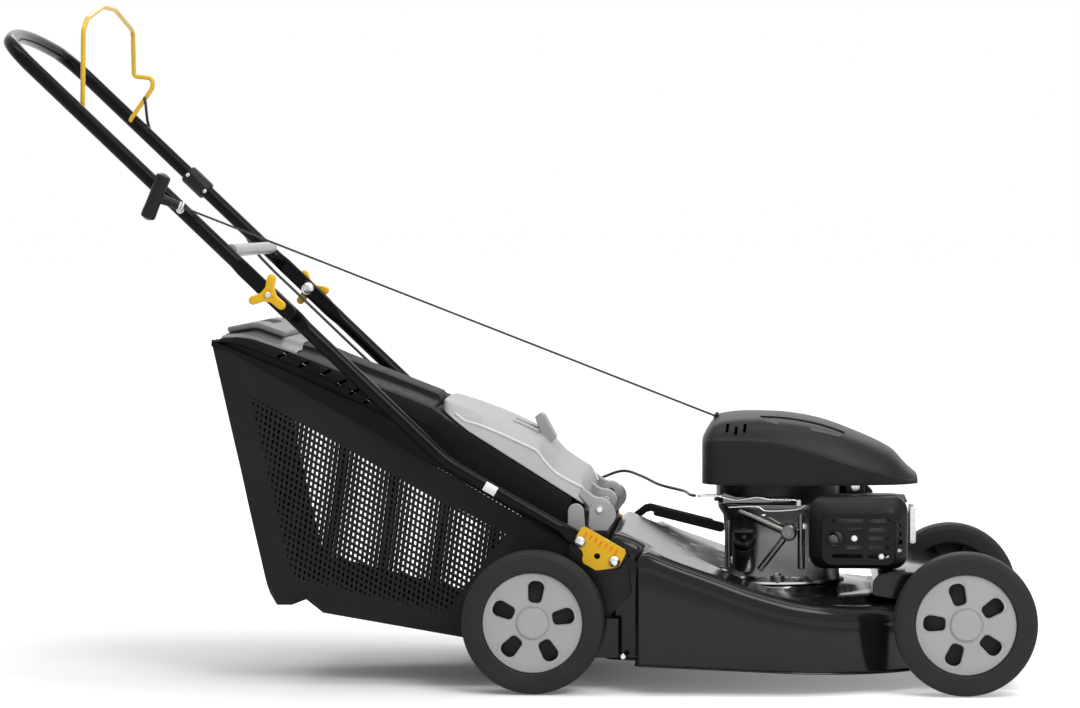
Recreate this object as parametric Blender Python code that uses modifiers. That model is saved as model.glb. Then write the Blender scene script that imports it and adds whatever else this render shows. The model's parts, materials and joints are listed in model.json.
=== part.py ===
"""Petrol lawn mower with a rear grass catcher, as separate pieces.

Metres, +X forward, +Y the operator's left, +Z up. The origin is on the ground, midway along the machine.
Heights are drawn from a base line that lies BASE_DROP below the axles, and the chassis empty lifts the drawing
so that wheels of any radius stand on the ground. Lengths along X are drawn from the rear axle or the blade's axis.
"""

import math

import bmesh
import bpy
from mathutils import Matrix, Vector

# Driving dimensions
GAP = 0.0003
BASE_DROP = 0.100
CUT = 0.460
WHEEL_R = 0.100
WHEEL_W = 0.045
REAR_AXLE_X = 0.0380
SHEET = 0.002

# Deck
TIP_ROOM = 0.008
DECK_R = CUT / 2 + TIP_ROOM
DECK_BACK = 0.1015
SIDE_BACK = 0.146
FLANGE = 0.004
SHOULDER = 0.018
RIM_BACK = 0.042
RIM_FRONT = 0.022
PAD_Z = 0.138
PAD_R = 0.106
PAD_BLEND = 0.034
PAD_DROP = 0.008
SHAFT_HOLE_R = 0.030

# Wheels and their lanes across the machine
WHEEL_PROUD = 0.0045
WHEEL_OUT = DECK_R + WHEEL_PROUD
WHEEL_IN = WHEEL_OUT - WHEEL_W
WHEEL_Y = WHEEL_OUT - WHEEL_W / 2
WHEEL_SIDES = 22
HUB_R = 0.0700
STUB_R = 0.006
BLADE_X = REAR_AXLE_X + WHEEL_R + 0.0025 + DECK_R
FRONT_AXLE_X = BLADE_X + DECK_R + 0.0235
REAR_ROOM = 0.021
DECK_REAR_Y = WHEEL_IN - REAR_ROOM
PLATE_T = 0.004
BRACKET_IN = DECK_REAR_Y + GAP
BRACKET_OUT = BRACKET_IN + PLATE_T
ARM_IN = BRACKET_OUT + 0.0015
ARM_OUT = ARM_IN + 0.008
LINK_T = 0.003
LINK_IN = DECK_REAR_Y - 0.010
LINK_ARM_T = 0.003

# Height adjustment
CRANK_R = 0.055
CRANK_ANGLE = math.radians(21)
PIVOT_DX = CRANK_R * math.cos(CRANK_ANGLE)
PIVOT_Z = BASE_DROP - CRANK_R * math.sin(CRANK_ANGLE)
LINK_ARM_R = 0.026
LINK_DX = LINK_ARM_R * math.sin(CRANK_ANGLE)
LINK_Z = PIVOT_Z + LINK_ARM_R * math.cos(CRANK_ANGLE)
LINK_H = 0.013
LINK_PIN_R = 0.003
LEVER_PIN_R = 0.0025
LEVER_X = 0.158
LEVER_Z = PIVOT_Z + LINK_ARM_R * (1 + math.cos(CRANK_ANGLE))
RACK_R = 0.050
RACK_W = 0.014
RACK_NOTCHES = 5

# Handle
TUBE_R = 0.0105
FLAT_T = 0.0085
FLAT_W = 0.025
HANDLE_Y = BRACKET_OUT + GAP + FLAT_T / 2
SLOPE = math.radians(43.6)
FOLD = (-0.3725, 0.556)
BEND = (-0.1235, 0.319)
TUBE_FOOT = (0.1235, 0.1765)
BEND_R = 0.16
FOLD_STUB = 0.012
UPPER_STUB = 0.046
LOOP_LENGTH = 0.539
LOOP_CORNER = 0.060
LOOP_CROWN = 0.031
CROWN_R = 0.50
CROWN_PEAK = 0.0144
CROSSBAR_U = 0.0835
CROSSBAR_N = 0.006
CROSSBAR_R = 0.0075
BOLT_R = 0.004
KNOB_R = 0.0295
KNOB_T = 0.013

# Flap and catcher
HINGE = (0.0895, 0.252)
HINGE_R = 0.004
CHUTE_Y = LINK_IN - LINK_ARM_T - 0.0035
CHUTE_BACK = 0.0500
CHUTE_FLOOR = 0.115
CHUTE_TOP = 0.204
CHUTE_WALL = 0.006
FLAP_Y = CHUTE_Y - 0.005
FLAP_T = 0.003
CATCHER_Y = CHUTE_Y - 0.002
CATCHER_WALL = 0.003
CATCHER_FRONT = CHUTE_BACK - GAP

# Engine, from the blade's axis
SHAFT_R = 0.0125
CASE_TOP = 0.254
COWL_Z = 0.285
COWL_WALL = 0.0025
CASE_FRONT = 0.0925
HEAD_X = CASE_FRONT + GAP
FLYWHEEL_R = 0.078
FAN_ROOM = 0.0085
FLYWHEEL_Z = 0.264
PULLEY_R = 0.028
PULLEY_Z = 0.328
BLADE_Z = 0.046
BLADE_T = 0.004
ROPE_R = 0.0015
CABLE_R = 0.0022

for old in list(bpy.data.objects):
    bpy.data.objects.remove(old, do_unlink=True)

PARTS = bpy.data.collections.new("lawn_mower")
bpy.context.scene.collection.children.link(PARTS)
CHASSIS = bpy.data.objects.new("chassis", None)
CHASSIS.location = (0, 0, WHEEL_R - BASE_DROP)
PARTS.objects.link(CHASSIS)


def paint(name, colour, roughness, metallic=0.0):
    material = bpy.data.materials.new(name)
    material.use_nodes = True
    shader = material.node_tree.nodes["Principled BSDF"]
    shader.inputs["Base Color"].default_value = (*colour, 1)
    shader.inputs["Roughness"].default_value = roughness
    shader.inputs["Metallic"].default_value = metallic
    return material


GLOSS_BLACK = paint("gloss_black", (0.012, 0.012, 0.013), 0.15)
SATIN_BLACK = paint("satin_black", (0.020, 0.020, 0.021), 0.45)
FABRIC_BLACK = paint("fabric_black", (0.014, 0.014, 0.014), 0.85)
RUBBER = paint("rubber", (0.040, 0.040, 0.042), 0.80)
GREY_PLASTIC = paint("grey_plastic", (0.420, 0.420, 0.430), 0.45)
YELLOW = paint("yellow", (0.870, 0.520, 0.020), 0.40)
ALUMINIUM = paint("cast_aluminium", (0.560, 0.560, 0.570), 0.35, 1.0)
STEEL = paint("zinc_steel", (0.620, 0.620, 0.640), 0.30, 1.0)


def add_mesh(name, mesh):
    obj = bpy.data.objects.new(name, mesh)
    PARTS.objects.link(obj)
    return obj


def face_out(shape):
    """Turn all faces of a closed shape outward."""
    bmesh.ops.recalc_face_normals(shape, faces=shape.faces)
    if shape.calc_volume(signed=True) < 0:
        bmesh.ops.reverse_faces(shape, faces=shape.faces)


def add_bmesh(name, shape):
    face_out(shape)
    mesh = bpy.data.meshes.new(name)
    shape.to_mesh(mesh)
    shape.free()
    return add_mesh(name, mesh)


def baked(obj):
    """The object as the viewport shows it, as a plain welded mesh in the drawing's frame."""
    bpy.context.view_layer.update()
    graph = bpy.context.evaluated_depsgraph_get()
    mesh = bpy.data.meshes.new_from_object(obj.evaluated_get(graph), depsgraph=graph)
    mesh.transform(obj.matrix_world)
    shape = bmesh.new()
    shape.from_mesh(mesh)
    bmesh.ops.remove_doubles(shape, verts=shape.verts, dist=1e-6)
    face_out(shape)
    shape.to_mesh(mesh)
    shape.free()
    name = obj.name
    bpy.data.objects.remove(obj)
    return add_mesh(name, mesh)


def boolean(obj, other, operation):
    modifier = obj.modifiers.new(operation.lower(), "BOOLEAN")
    modifier.operation = operation
    modifier.object = other
    result = baked(obj)
    bpy.data.objects.remove(other)
    return result


def joined(obj, *others):
    for other in others:
        obj = boolean(obj, other, "UNION")
    return obj


def cut(obj, *cutters):
    for cutter in cutters:
        cutter.hide_render = True
        cutter.display_type = "WIRE"
        obj = boolean(obj, cutter, "DIFFERENCE")
    return obj


def bevelled(obj, width, segments=1, angle=40):
    modifier = obj.modifiers.new("bevel", "BEVEL")
    modifier.width = width
    modifier.segments = segments
    modifier.limit_method = "ANGLE"
    modifier.angle_limit = math.radians(angle)
    return baked(obj)


def box(name, low, high):
    shape = bmesh.new()
    bmesh.ops.create_cube(shape, size=1)
    size = Vector(high) - Vector(low)
    centre = (Vector(high) + Vector(low)) / 2
    bmesh.ops.transform(shape, matrix=Matrix.Translation(centre) @ Matrix.Diagonal((*size, 1)), verts=shape.verts)
    return add_bmesh(name, shape)


def rod(name, start, end, radius, sides=8, end_radius=None):
    start, end = Vector(start), Vector(end)
    shape = bmesh.new()
    turn = Vector((0, 0, 1)).rotation_difference(end - start).to_matrix().to_4x4()
    bmesh.ops.create_cone(
        shape,
        cap_ends=True,
        segments=sides,
        radius1=radius,
        radius2=radius if end_radius is None else end_radius,
        depth=(end - start).length,
        matrix=Matrix.Translation((start + end) / 2) @ turn,
    )
    return add_bmesh(name, shape)


def bore(start, end, radius, sides=8):
    """A cutter whose flats, not its corners, clear the radius."""
    return rod("bore", start, end, radius / math.cos(math.pi / sides), sides)


def turned(name, profile, at, axis=(0, 0, 1), steps=16, closed=False):
    """A profile of (radius, height) points, turned about the axis through the point."""
    mesh = bpy.data.meshes.new(name)
    count = len(profile)
    edges = [(i, i + 1) for i in range(count - 1)] + ([(count - 1, 0)] if closed else [])
    mesh.from_pydata([(radius, 0, height) for radius, height in profile], edges, [])
    obj = add_mesh(name, mesh)
    screw = obj.modifiers.new("screw", "SCREW")
    screw.steps = screw.render_steps = steps
    screw.use_merge_vertices = True
    screw.merge_threshold = 0.00001
    obj.rotation_mode = "QUATERNION"
    obj.rotation_quaternion = Vector((0, 0, 1)).rotation_difference(Vector(axis))
    obj.location = at
    return baked(obj)


def across(y):
    """A plane whose u is X and whose v is Z, at a place across the machine."""
    return Matrix(((1, 0, 0, 0), (0, 0, -1, y), (0, 1, 0, 0), (0, 0, 0, 1)))


def level(z):
    return Matrix.Translation((0, 0, z))


def facing(x):
    """A plane whose u is Y and whose v is Z, at a place along the machine."""
    return Matrix(((0, 0, 1, x), (1, 0, 0, 0), (0, 1, 0, 0), (0, 0, 0, 1)))


def plate(name, outline, thickness, plane, holes=()):
    """A flat outline with its holes, thickened to both sides of the plane."""
    curve = bpy.data.curves.new(name, "CURVE")
    curve.dimensions = "2D"
    curve.fill_mode = "BOTH"
    curve.extrude = thickness / 2
    for ring in (outline, *holes):
        spline = curve.splines.new("POLY")
        spline.points.add(len(ring) - 1)
        for point, (u, v) in zip(spline.points, ring):
            point.co = (u, v, 0, 1)
        spline.use_cyclic_u = True
    obj = add_mesh(name, curve)
    obj.matrix_world = plane
    return baked(obj)


def slab(name, outline, y0, y1, holes=()):
    """A side-view outline between two places across the machine."""
    return plate(name, outline, abs(y1 - y0), across((y0 + y1) / 2), holes)


def ring(u, v, radius, sides=8, start=0.0):
    return [
        (u + radius * math.cos(start + k * math.tau / sides), v + radius * math.sin(start + k * math.tau / sides))
        for k in range(sides)
    ]


def hole(u, v, radius, sides=8):
    """A ring whose flats, not its corners, clear the radius."""
    return ring(u, v, radius / math.cos(math.pi / sides), sides)


def rounded(corners, per_corner=1):
    """An outline whose corners (u, v, radius) are replaced by arcs."""
    points = []
    count = len(corners)
    for i, (u, v, radius) in enumerate(corners):
        here = Vector((u, v))
        back = (Vector(corners[i - 1][:2]) - here).normalized()
        ahead = (Vector(corners[(i + 1) % count][:2]) - here).normalized()
        half = back.angle(ahead) / 2
        if radius <= 0 or half > math.radians(88):
            points.append((u, v))
            continue
        reach = radius / math.tan(half)
        centre = here + (back + ahead).normalized() * radius / math.sin(half)
        first = here + back * reach - centre
        last = here + ahead * reach - centre
        sweep = first.angle_signed(last)
        for k in range(per_corner + 1):
            spun = Matrix.Rotation(-sweep * k / per_corner, 2) @ first
            points.append(tuple(centre + spun))
    return points


def rounded_box(low, high, radius):
    (u0, v0), (u1, v1) = low, high
    return rounded([(u0, v0, radius), (u1, v0, radius), (u1, v1, radius), (u0, v1, radius)])


def capsule(a, b, radius_a, radius_b, steps=4):
    """The outline round two circles, such as a lever arm's."""
    a, b = Vector(a), Vector(b)
    along = math.atan2(b.y - a.y, b.x - a.x)
    tilt = math.asin((radius_a - radius_b) / (b - a).length)
    points = []
    for centre, radius, start, end in (
        (b, radius_b, -math.pi / 2 + tilt, math.pi / 2 - tilt),
        (a, radius_a, math.pi / 2 - tilt, 3 * math.pi / 2 + tilt),
    ):
        for k in range(steps):
            turn = along + start + (end - start) * k / (steps - 1)
            points.append((centre.x + radius * math.cos(turn), centre.y + radius * math.sin(turn)))
    return points


def inset(outline, distance):
    """The outline moved inward by a distance, keeping its number of points."""
    count = len(outline)
    area = sum(outline[i - 1][0] * outline[i][1] - outline[i][0] * outline[i - 1][1] for i in range(count))
    side = 1 if area > 0 else -1
    moved = []
    for i in range(count):
        here = Vector(outline[i])
        a = (here - Vector(outline[i - 1])).normalized()
        b = (Vector(outline[(i + 1) % count]) - here).normalized()
        normal_a = Vector((-a.y, a.x)) * side
        normal_b = Vector((-b.y, b.x)) * side
        mean = (normal_a + normal_b).normalized()
        moved.append(tuple(here + mean * distance / max(0.3, mean.dot(normal_a))))
    return moved


def loft(name, rings, around=False):
    """A skin over rings of as many points each, capped at both ends or closed back onto the first ring."""
    shape = bmesh.new()
    loops = [[shape.verts.new(point) for point in ring_points] for ring_points in rings]
    count = len(loops[0])
    for a, b in zip(loops, loops[1:] + loops[:1] if around else loops[1:]):
        for k in range(count):
            shape.faces.new((a[k], a[(k + 1) % count], b[(k + 1) % count], b[k]))
    if not around:
        shape.faces.new(loops[0])
        shape.faces.new(loops[-1])
    return add_bmesh(name, shape)


def smooth_route(points, step):
    """Points about a step apart on a smooth curve through the route's own points."""
    points = [Vector(p) for p in points]
    padded = [2 * points[0] - points[1], *points, 2 * points[-1] - points[-2]]
    route = [points[0]]
    for a, b, c, d in zip(padded, padded[1:], padded[2:], padded[3:]):
        count = max(1, round((c - b).length / step))
        for k in range(1, count + 1):
            t = k / count
            route.append(
                0.5
                * (2 * b + (c - a) * t + (2 * a - 5 * b + 4 * c - d) * t**2 + (3 * b - a - 3 * c + d) * t**3)
            )
    return route


def cord(name, points, radius, resolution=2):
    """A round wire, rail or cord along its points, with filled ends."""
    curve = bpy.data.curves.new(name, "CURVE")
    curve.dimensions = "3D"
    curve.bevel_depth = radius
    curve.bevel_resolution = resolution
    curve.use_fill_caps = True
    spline = curve.splines.new("POLY")
    spline.points.add(len(points) - 1)
    for point, place in zip(spline.points, points):
        point.co = (*place, 1)
    return baked(add_mesh(name, curve))


def bent(corners, per_bend=5):
    """A run through corners (point, bend radius), with an arc in place of each inner corner."""
    route = [Vector(corners[0][0])]
    for (before, _), (here, radius), (after, _) in zip(corners, corners[1:], corners[2:]):
        here = Vector(here)
        back = (Vector(before) - here).normalized()
        ahead = (Vector(after) - here).normalized()
        half = back.angle(ahead) / 2
        reach = radius / math.tan(half)
        centre = here + (back + ahead).normalized() * radius / math.sin(half)
        first = here + back * reach - centre
        last = here + ahead * reach - centre
        for k in range(per_bend + 1):
            route.append(centre + first.slerp(last, k / per_bend).normalized() * radius)
    route.append(Vector(corners[-1][0]))
    return route


def pressed_tube(name, route, normal, section, sides=8):
    """A tube that bends in one plane and can be pressed flat.

    section(k) gives the half sizes along the plane's normal and along the bend's side, then the shifts along both.
    """
    normal = Vector(normal)
    rings = []
    for k, place in enumerate(route):
        before = route[max(0, k - 1)]
        after = route[min(len(route) - 1, k + 1)]
        side = (after - before).normalized().cross(normal).normalized()
        along, sideways, shift_along, shift_side = section(k)
        ring_points = []
        for j in range(sides):
            turn = math.tau * (j + 0.5) / sides
            c, s = math.cos(turn), math.sin(turn)
            if along < sideways * 0.8:
                c = math.copysign(1 if abs(s) < 0.9 else 0.5, c)
            elif sideways < along * 0.8:
                s = math.copysign(1 if abs(c) < 0.9 else 0.5, s)
            ring_points.append(place + normal * (shift_along + along * c) + side * (shift_side + sideways * s))
        rings.append(ring_points)
    return loft(name, rings)


def finish(obj, material, pivot=None, crease=35):
    """Shade and colour a piece, hang it on the chassis, and put its origin on its joint's axis."""
    mesh = obj.data
    mesh.materials.clear()
    mesh.materials.append(material)
    mesh.shade_smooth()
    mesh.set_sharp_from_angle(angle=math.radians(crease))
    if pivot is not None:
        mesh.transform(Matrix.Translation(-Vector(pivot)))
        obj.location = pivot
    obj.parent = CHASSIS
    return obj


def mirrored(name, obj):
    """A mirrored copy on the machine's other side."""
    mesh = obj.data.copy()
    mesh.transform(Matrix.Diagonal((1, -1, 1, 1)))
    mesh.flip_normals()
    twin = add_mesh(name, mesh)
    return twin


def on_curve(table, x):
    """A height read from a short table of (place, height), eased between its points."""
    if x <= table[0][0]:
        return table[0][1]
    for (x0, z0), (x1, z1) in zip(table, table[1:]):
        if x <= x1:
            return z0 + (z1 - z0) * (x - x0) / (x1 - x0)
    return table[-1][1]


# Deck

DECK_TOP = [(0.1015, 0.228), (0.1365, 0.213), (0.1875, 0.190), (0.2485, 0.168), (0.3095, 0.146), (0.3705, 0.130),
            (0.4315, 0.122), (0.4925, 0.119), (0.600, 0.118)]


def deck_top(x):
    return on_curve(DECK_TOP, x - REAR_AXLE_X)


def deck_rim(x):
    back = REAR_AXLE_X + DECK_BACK
    share = (x - back) / (BLADE_X + DECK_R - back)
    return RIM_BACK + (RIM_FRONT - RIM_BACK) * share


def deck_outline():
    """Plan of the deck: round in front, straight sides, drawn in between the rear wheels."""
    back = REAR_AXLE_X + DECK_BACK
    side = REAR_AXLE_X + SIDE_BACK
    arc = [math.radians(12.5 * k) for k in range(8)]
    half = [(BLADE_X + DECK_R * math.cos(a), DECK_R * math.sin(a)) for a in arc]
    span = BLADE_X - side
    half += [(BLADE_X - span * 0.5, DECK_R)]
    half += [(side + 0.004, DECK_R), (side - 0.001, DECK_R - 0.005)]
    half += [(side - 0.001, DECK_REAR_Y + 0.006), (side - 0.007, DECK_REAR_Y)]
    half += [(back + 0.014, DECK_REAR_Y), (back, DECK_REAR_Y - 0.001), (back, DECK_REAR_Y * 0.5)]
    return [*half, (back, 0.0), *[(x, -y) for x, y in reversed(half[1:])]]


def make_deck():
    outline = deck_outline()
    count = len(outline)
    centre = Vector((BLADE_X, 0))
    rings = [[] for _ in range(15)]
    for i, place in enumerate(outline):
        here = Vector(place)
        along = (Vector(outline[(i + 1) % count]) - Vector(outline[i - 1])).normalized()
        out = Vector((along.y, -along.x))
        rim = deck_rim(here.x)
        top = deck_top(here.x)
        bend = SHOULDER * 0.29
        inner = here - out * SHOULDER
        spoke = (inner - centre).normalized()
        blend = centre + spoke * (PAD_R + PAD_BLEND)
        blend_z = max(deck_top(blend.x), PAD_Z - PAD_DROP)
        pad = centre + spoke * PAD_R
        shaft_hole = centre + spoke * SHAFT_HOLE_R
        spots = (
            (here + out * FLANGE, rim),
            (here, rim + SHEET),
            (here, top - SHOULDER),
            (here - out * bend, top - bend),
            (inner, top),
            (blend, blend_z),
            (pad, PAD_Z),
            (shaft_hole, PAD_Z),
            (shaft_hole, PAD_Z - SHEET),
            (pad, PAD_Z - SHEET),
            (blend, blend_z - SHEET),
            (inner, top - SHEET),
            (here - out * (bend + SHEET * 0.7), top - bend - SHEET * 0.7),
            (here - out * SHEET, top - SHOULDER),
            (here - out * SHEET, rim),
        )
        for ring_points, (spot, z) in zip(rings, spots):
            ring_points.append((spot.x, spot.y, z))
    deck = loft("deck", rings, around=True)
    back = REAR_AXLE_X + DECK_BACK
    opening_y = CHUTE_Y - CHUTE_WALL
    mouth = box("mouth", (back - 0.01, -opening_y, CHUTE_FLOOR), (back + 0.01, opening_y, CHUTE_TOP))
    slot_y0, slot_y1 = LINK_IN - 0.003, LINK_IN + LINK_T + 0.003
    slot_z0, slot_z1 = LINK_Z - LINK_H / 2 - 0.0035, LINK_Z + LINK_H / 2 + 0.004
    slot = box("slot", (back - 0.02, slot_y0, slot_z0), (back + 0.02, slot_y1, slot_z1))
    exit_x = BLADE_X + math.sqrt(DECK_R**2 - slot_y1**2)
    front_slot = box("front_slot", (exit_x - 0.03, slot_y0, slot_z0), (exit_x + 0.03, slot_y1, slot_z1))
    lever_x = REAR_AXLE_X + LEVER_X
    lever_bore = bore((lever_x, DECK_R - 0.02, LEVER_Z), (lever_x, DECK_R + 0.01, LEVER_Z), STUB_R + GAP)
    return finish(cut(deck, mouth, slot, front_slot, lever_bore), GLOSS_BLACK)


def make_rear_chute():
    """The plastic frame of the rear mouth, with the ears that hold the flap's rod."""
    x0, x1 = REAR_AXLE_X + CHUTE_BACK, REAR_AXLE_X + DECK_BACK - GAP
    hinge_x = REAR_AXLE_X + HINGE[0]
    opening_y = CHUTE_Y - CHUTE_WALL
    frame = plate(
        "rear_chute",
        rounded_box((-CHUTE_Y, CHUTE_FLOOR - 0.012), (CHUTE_Y, CHUTE_TOP + 0.018), 0.006),
        x1 - x0,
        facing((x0 + x1) / 2),
        [rounded_box((-opening_y, CHUTE_FLOOR), (opening_y, CHUTE_TOP), 0.010)],
    )
    ears = []
    for side in (-1, 1):
        ear_y0, ear_y1 = side * (FLAP_Y + GAP * 2), side * CHUTE_Y
        outline = [(hinge_x - 0.016, CHUTE_TOP + 0.010), (hinge_x + 0.0115, CHUTE_TOP + 0.010)]
        outline += [
            (hinge_x + 0.010 * math.cos(a), HINGE[1] + 0.010 * math.sin(a))
            for a in [math.radians(15 + 30 * k) for k in range(6)]
        ]
        ears.append(slab("ear", outline, ear_y0, ear_y1, [hole(hinge_x, HINGE[1], HINGE_R + GAP)]))
        for boss_z in (CHUTE_FLOOR + 0.012, CHUTE_TOP - 0.012):
            start = (x1 - 0.016, side * (CHUTE_Y - 0.002), boss_z)
            end = (x1 - 0.016, side * (DECK_REAR_Y), boss_z)
            if side < 0 or boss_z > CHUTE_FLOOR + 0.02:
                ears.append(rod("boss", start, end, 0.007, 12))
    return finish(joined(frame, *ears), SATIN_BLACK)


def make_hinge_rod():
    hinge_x = REAR_AXLE_X + HINGE[0]
    start, end = (hinge_x, -CHUTE_Y - 0.002, HINGE[1]), (hinge_x, CHUTE_Y + 0.002, HINGE[1])
    return finish(rod("hinge_rod", start, end, HINGE_R, 12), STEEL)


# Handle brackets, their yellow plates and the lower tubes

BOLTS = [(0.0645, 0.2105), (0.1125, 0.1829)]


def make_brackets():
    """Steel side plates that carry the rear axle and the handle, with the studs of the yellow plates."""
    ax = REAR_AXLE_X
    outline = rounded(
        [
            (ax + PIVOT_DX - 0.016, PIVOT_Z - 0.014, 0.012),
            (ax + PIVOT_DX + 0.016, PIVOT_Z - 0.014, 0.012),
            (ax + DECK_BACK + 0.034, CHUTE_FLOOR + 0.020, 0.010),
            (ax + BOLTS[1][0] + 0.018, BOLTS[1][1] - 0.014, 0.006),
            (ax + BOLTS[1][0] + 0.018, BOLTS[1][1] + 0.012, 0.006),
            (ax + BOLTS[0][0] + 0.012, BOLTS[0][1] + 0.014, 0.006),
            (ax + BOLTS[0][0] - 0.014, BOLTS[0][1] + 0.014, 0.006),
        ]
    )
    pivot_hole = hole(ax + PIVOT_DX, PIVOT_Z, STUB_R + GAP)
    bracket = slab("handle_bracket_left", outline, BRACKET_IN, BRACKET_OUT, [pivot_hole])
    head_in = yellow_out() + GAP
    for x, z in BOLTS:
        stud = rod("stud", (ax + x, BRACKET_OUT - 0.002, z), (ax + x, head_in + 0.001, z), BOLT_R, 12)
        head = rod("head", (ax + x, head_in, z), (ax + x, head_in + 0.005, z), 0.0075, 12, 0.0045)
        bracket = joined(bracket, joined(stud, head))
    twin = mirrored("handle_bracket_right", bracket)
    return finish(bracket, SATIN_BLACK), finish(twin, SATIN_BLACK)


def yellow_in():
    return HANDLE_Y + FLAT_T / 2 + GAP


def yellow_out():
    return yellow_in() + 0.010


def make_bracket_plates():
    """The yellow shoe-shaped plates, with their bolt holes and a round hole."""
    ax = REAR_AXLE_X
    slope = math.atan2(BOLTS[1][1] - BOLTS[0][1], BOLTS[1][0] - BOLTS[0][0])
    middle = Vector(((BOLTS[0][0] + BOLTS[1][0]) / 2 + ax, (BOLTS[0][1] + BOLTS[1][1]) / 2))
    turn = Matrix.Rotation(-slope, 2)

    def placed(points):
        return [tuple(middle + Vector((u, v)) @ turn) for u, v in points]

    shoe = rounded(
        [(-0.036, 0.021, 0.004), (0.036, 0.021, 0.004), (0.037, -0.004, 0.006), (0.030, -0.010, 0.004),
         (0.012, -0.024, 0.005), (-0.012, -0.024, 0.005), (-0.016, -0.010, 0.006), (-0.036, -0.007, 0.005)]
    )
    reach = math.hypot(BOLTS[1][0] - BOLTS[0][0], BOLTS[1][1] - BOLTS[0][1]) / 2
    holes = [placed(hole(-reach, 0, BOLT_R + GAP)), placed(hole(reach, 0, BOLT_R + GAP))]
    holes.append(placed(ring(0.003, -0.006, 0.0045, 12)))
    body = slab("bracket_plate_left", placed(shoe), yellow_in(), yellow_out(), holes)
    twin = mirrored("bracket_plate_right", body)
    return finish(body, YELLOW), finish(twin, YELLOW)


def make_lower_tubes():
    """Bent tubes from the deck to the fold, pressed flat where they are bolted."""
    ax = REAR_AXLE_X
    up = Vector((-math.cos(SLOPE), math.sin(SLOPE)))
    top = Vector(FOLD) + up * FOLD_STUB
    start = Vector((ax + top.x, HANDLE_Y, top.y))
    knee = Vector((ax + BEND[0], HANDLE_Y, BEND[1]))
    foot = Vector((ax + TUBE_FOOT[0], HANDLE_Y, TUBE_FOOT[1]))
    down = (knee - start).normalized()
    out = (foot - knee).normalized()
    knee_run = bent([(start, 0), (knee, BEND_R), (foot, 0)], 4)[1:-1]
    near_fold = [start + down * d for d in (0, 0.012, 0.062, 0.080)]
    near_foot = [foot - out * d for d in (0.102, 0.090, 0.012, 0)]
    route = [*near_fold, *knee_run, *near_foot]
    last = len(route) - 1
    fold_shift = -(FLAT_T / 2 + GAP)

    def section(k):
        if k in (0, last):
            return FLAT_T / 2, FLAT_W * 0.30, fold_shift if k == 0 else 0, 0
        if k in (1, 2):
            return FLAT_T / 2, FLAT_W / 2, fold_shift, 0
        if k in (last - 1, last - 2):
            return FLAT_T / 2, FLAT_W / 2, 0, 0
        return TUBE_R, TUBE_R, 0, 0

    tube = pressed_tube("lower_tube_left", route, (0, 1, 0), section)
    fold = (ax + FOLD[0], FOLD[1])
    holes = [bore((fold[0], HANDLE_Y - 0.03, fold[1]), (fold[0], HANDLE_Y + 0.03, fold[1]), BOLT_R + GAP)]
    for x, z in BOLTS:
        holes.append(bore((ax + x, HANDLE_Y - 0.03, z), (ax + x, HANDLE_Y + 0.03, z), BOLT_R + GAP))
    tube = cut(tube, *holes)
    twin = mirrored("lower_tube_right", tube)
    return finish(tube, GLOSS_BLACK), finish(twin, GLOSS_BLACK)


# Upper handle and what it carries

UP = Vector((-math.cos(SLOPE), 0, math.sin(SLOPE)))
FRONTWARD = Vector((math.sin(SLOPE), 0, math.cos(SLOPE)))
FOLD_POINT = Vector((REAR_AXLE_X + FOLD[0], 0, FOLD[1]))
BAIL_U = 0.370
BAIL_R = 0.0035
BAIL_Y = HANDLE_Y - TUBE_R - 0.002 - BAIL_R
BAIL_POINT = FOLD_POINT + UP * BAIL_U
NECK_START = 0.0018 + GAP
GUIDE_POINT = Vector((REAR_AXLE_X - 0.4935, -(HANDLE_Y + TUBE_R + 0.0095), 0.679))
ROPE_ENTRY = Vector((BLADE_X - 0.0896, -0.030, 0.3767))
ROPE_WAY = (GUIDE_POINT - ROPE_ENTRY).normalized()


def on_handle(u, y, n=0.0):
    """A place on the upper handle: along it, across it and in front of it."""
    return FOLD_POINT + UP * u + FRONTWARD * n + Vector((0, y, 0))


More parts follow.
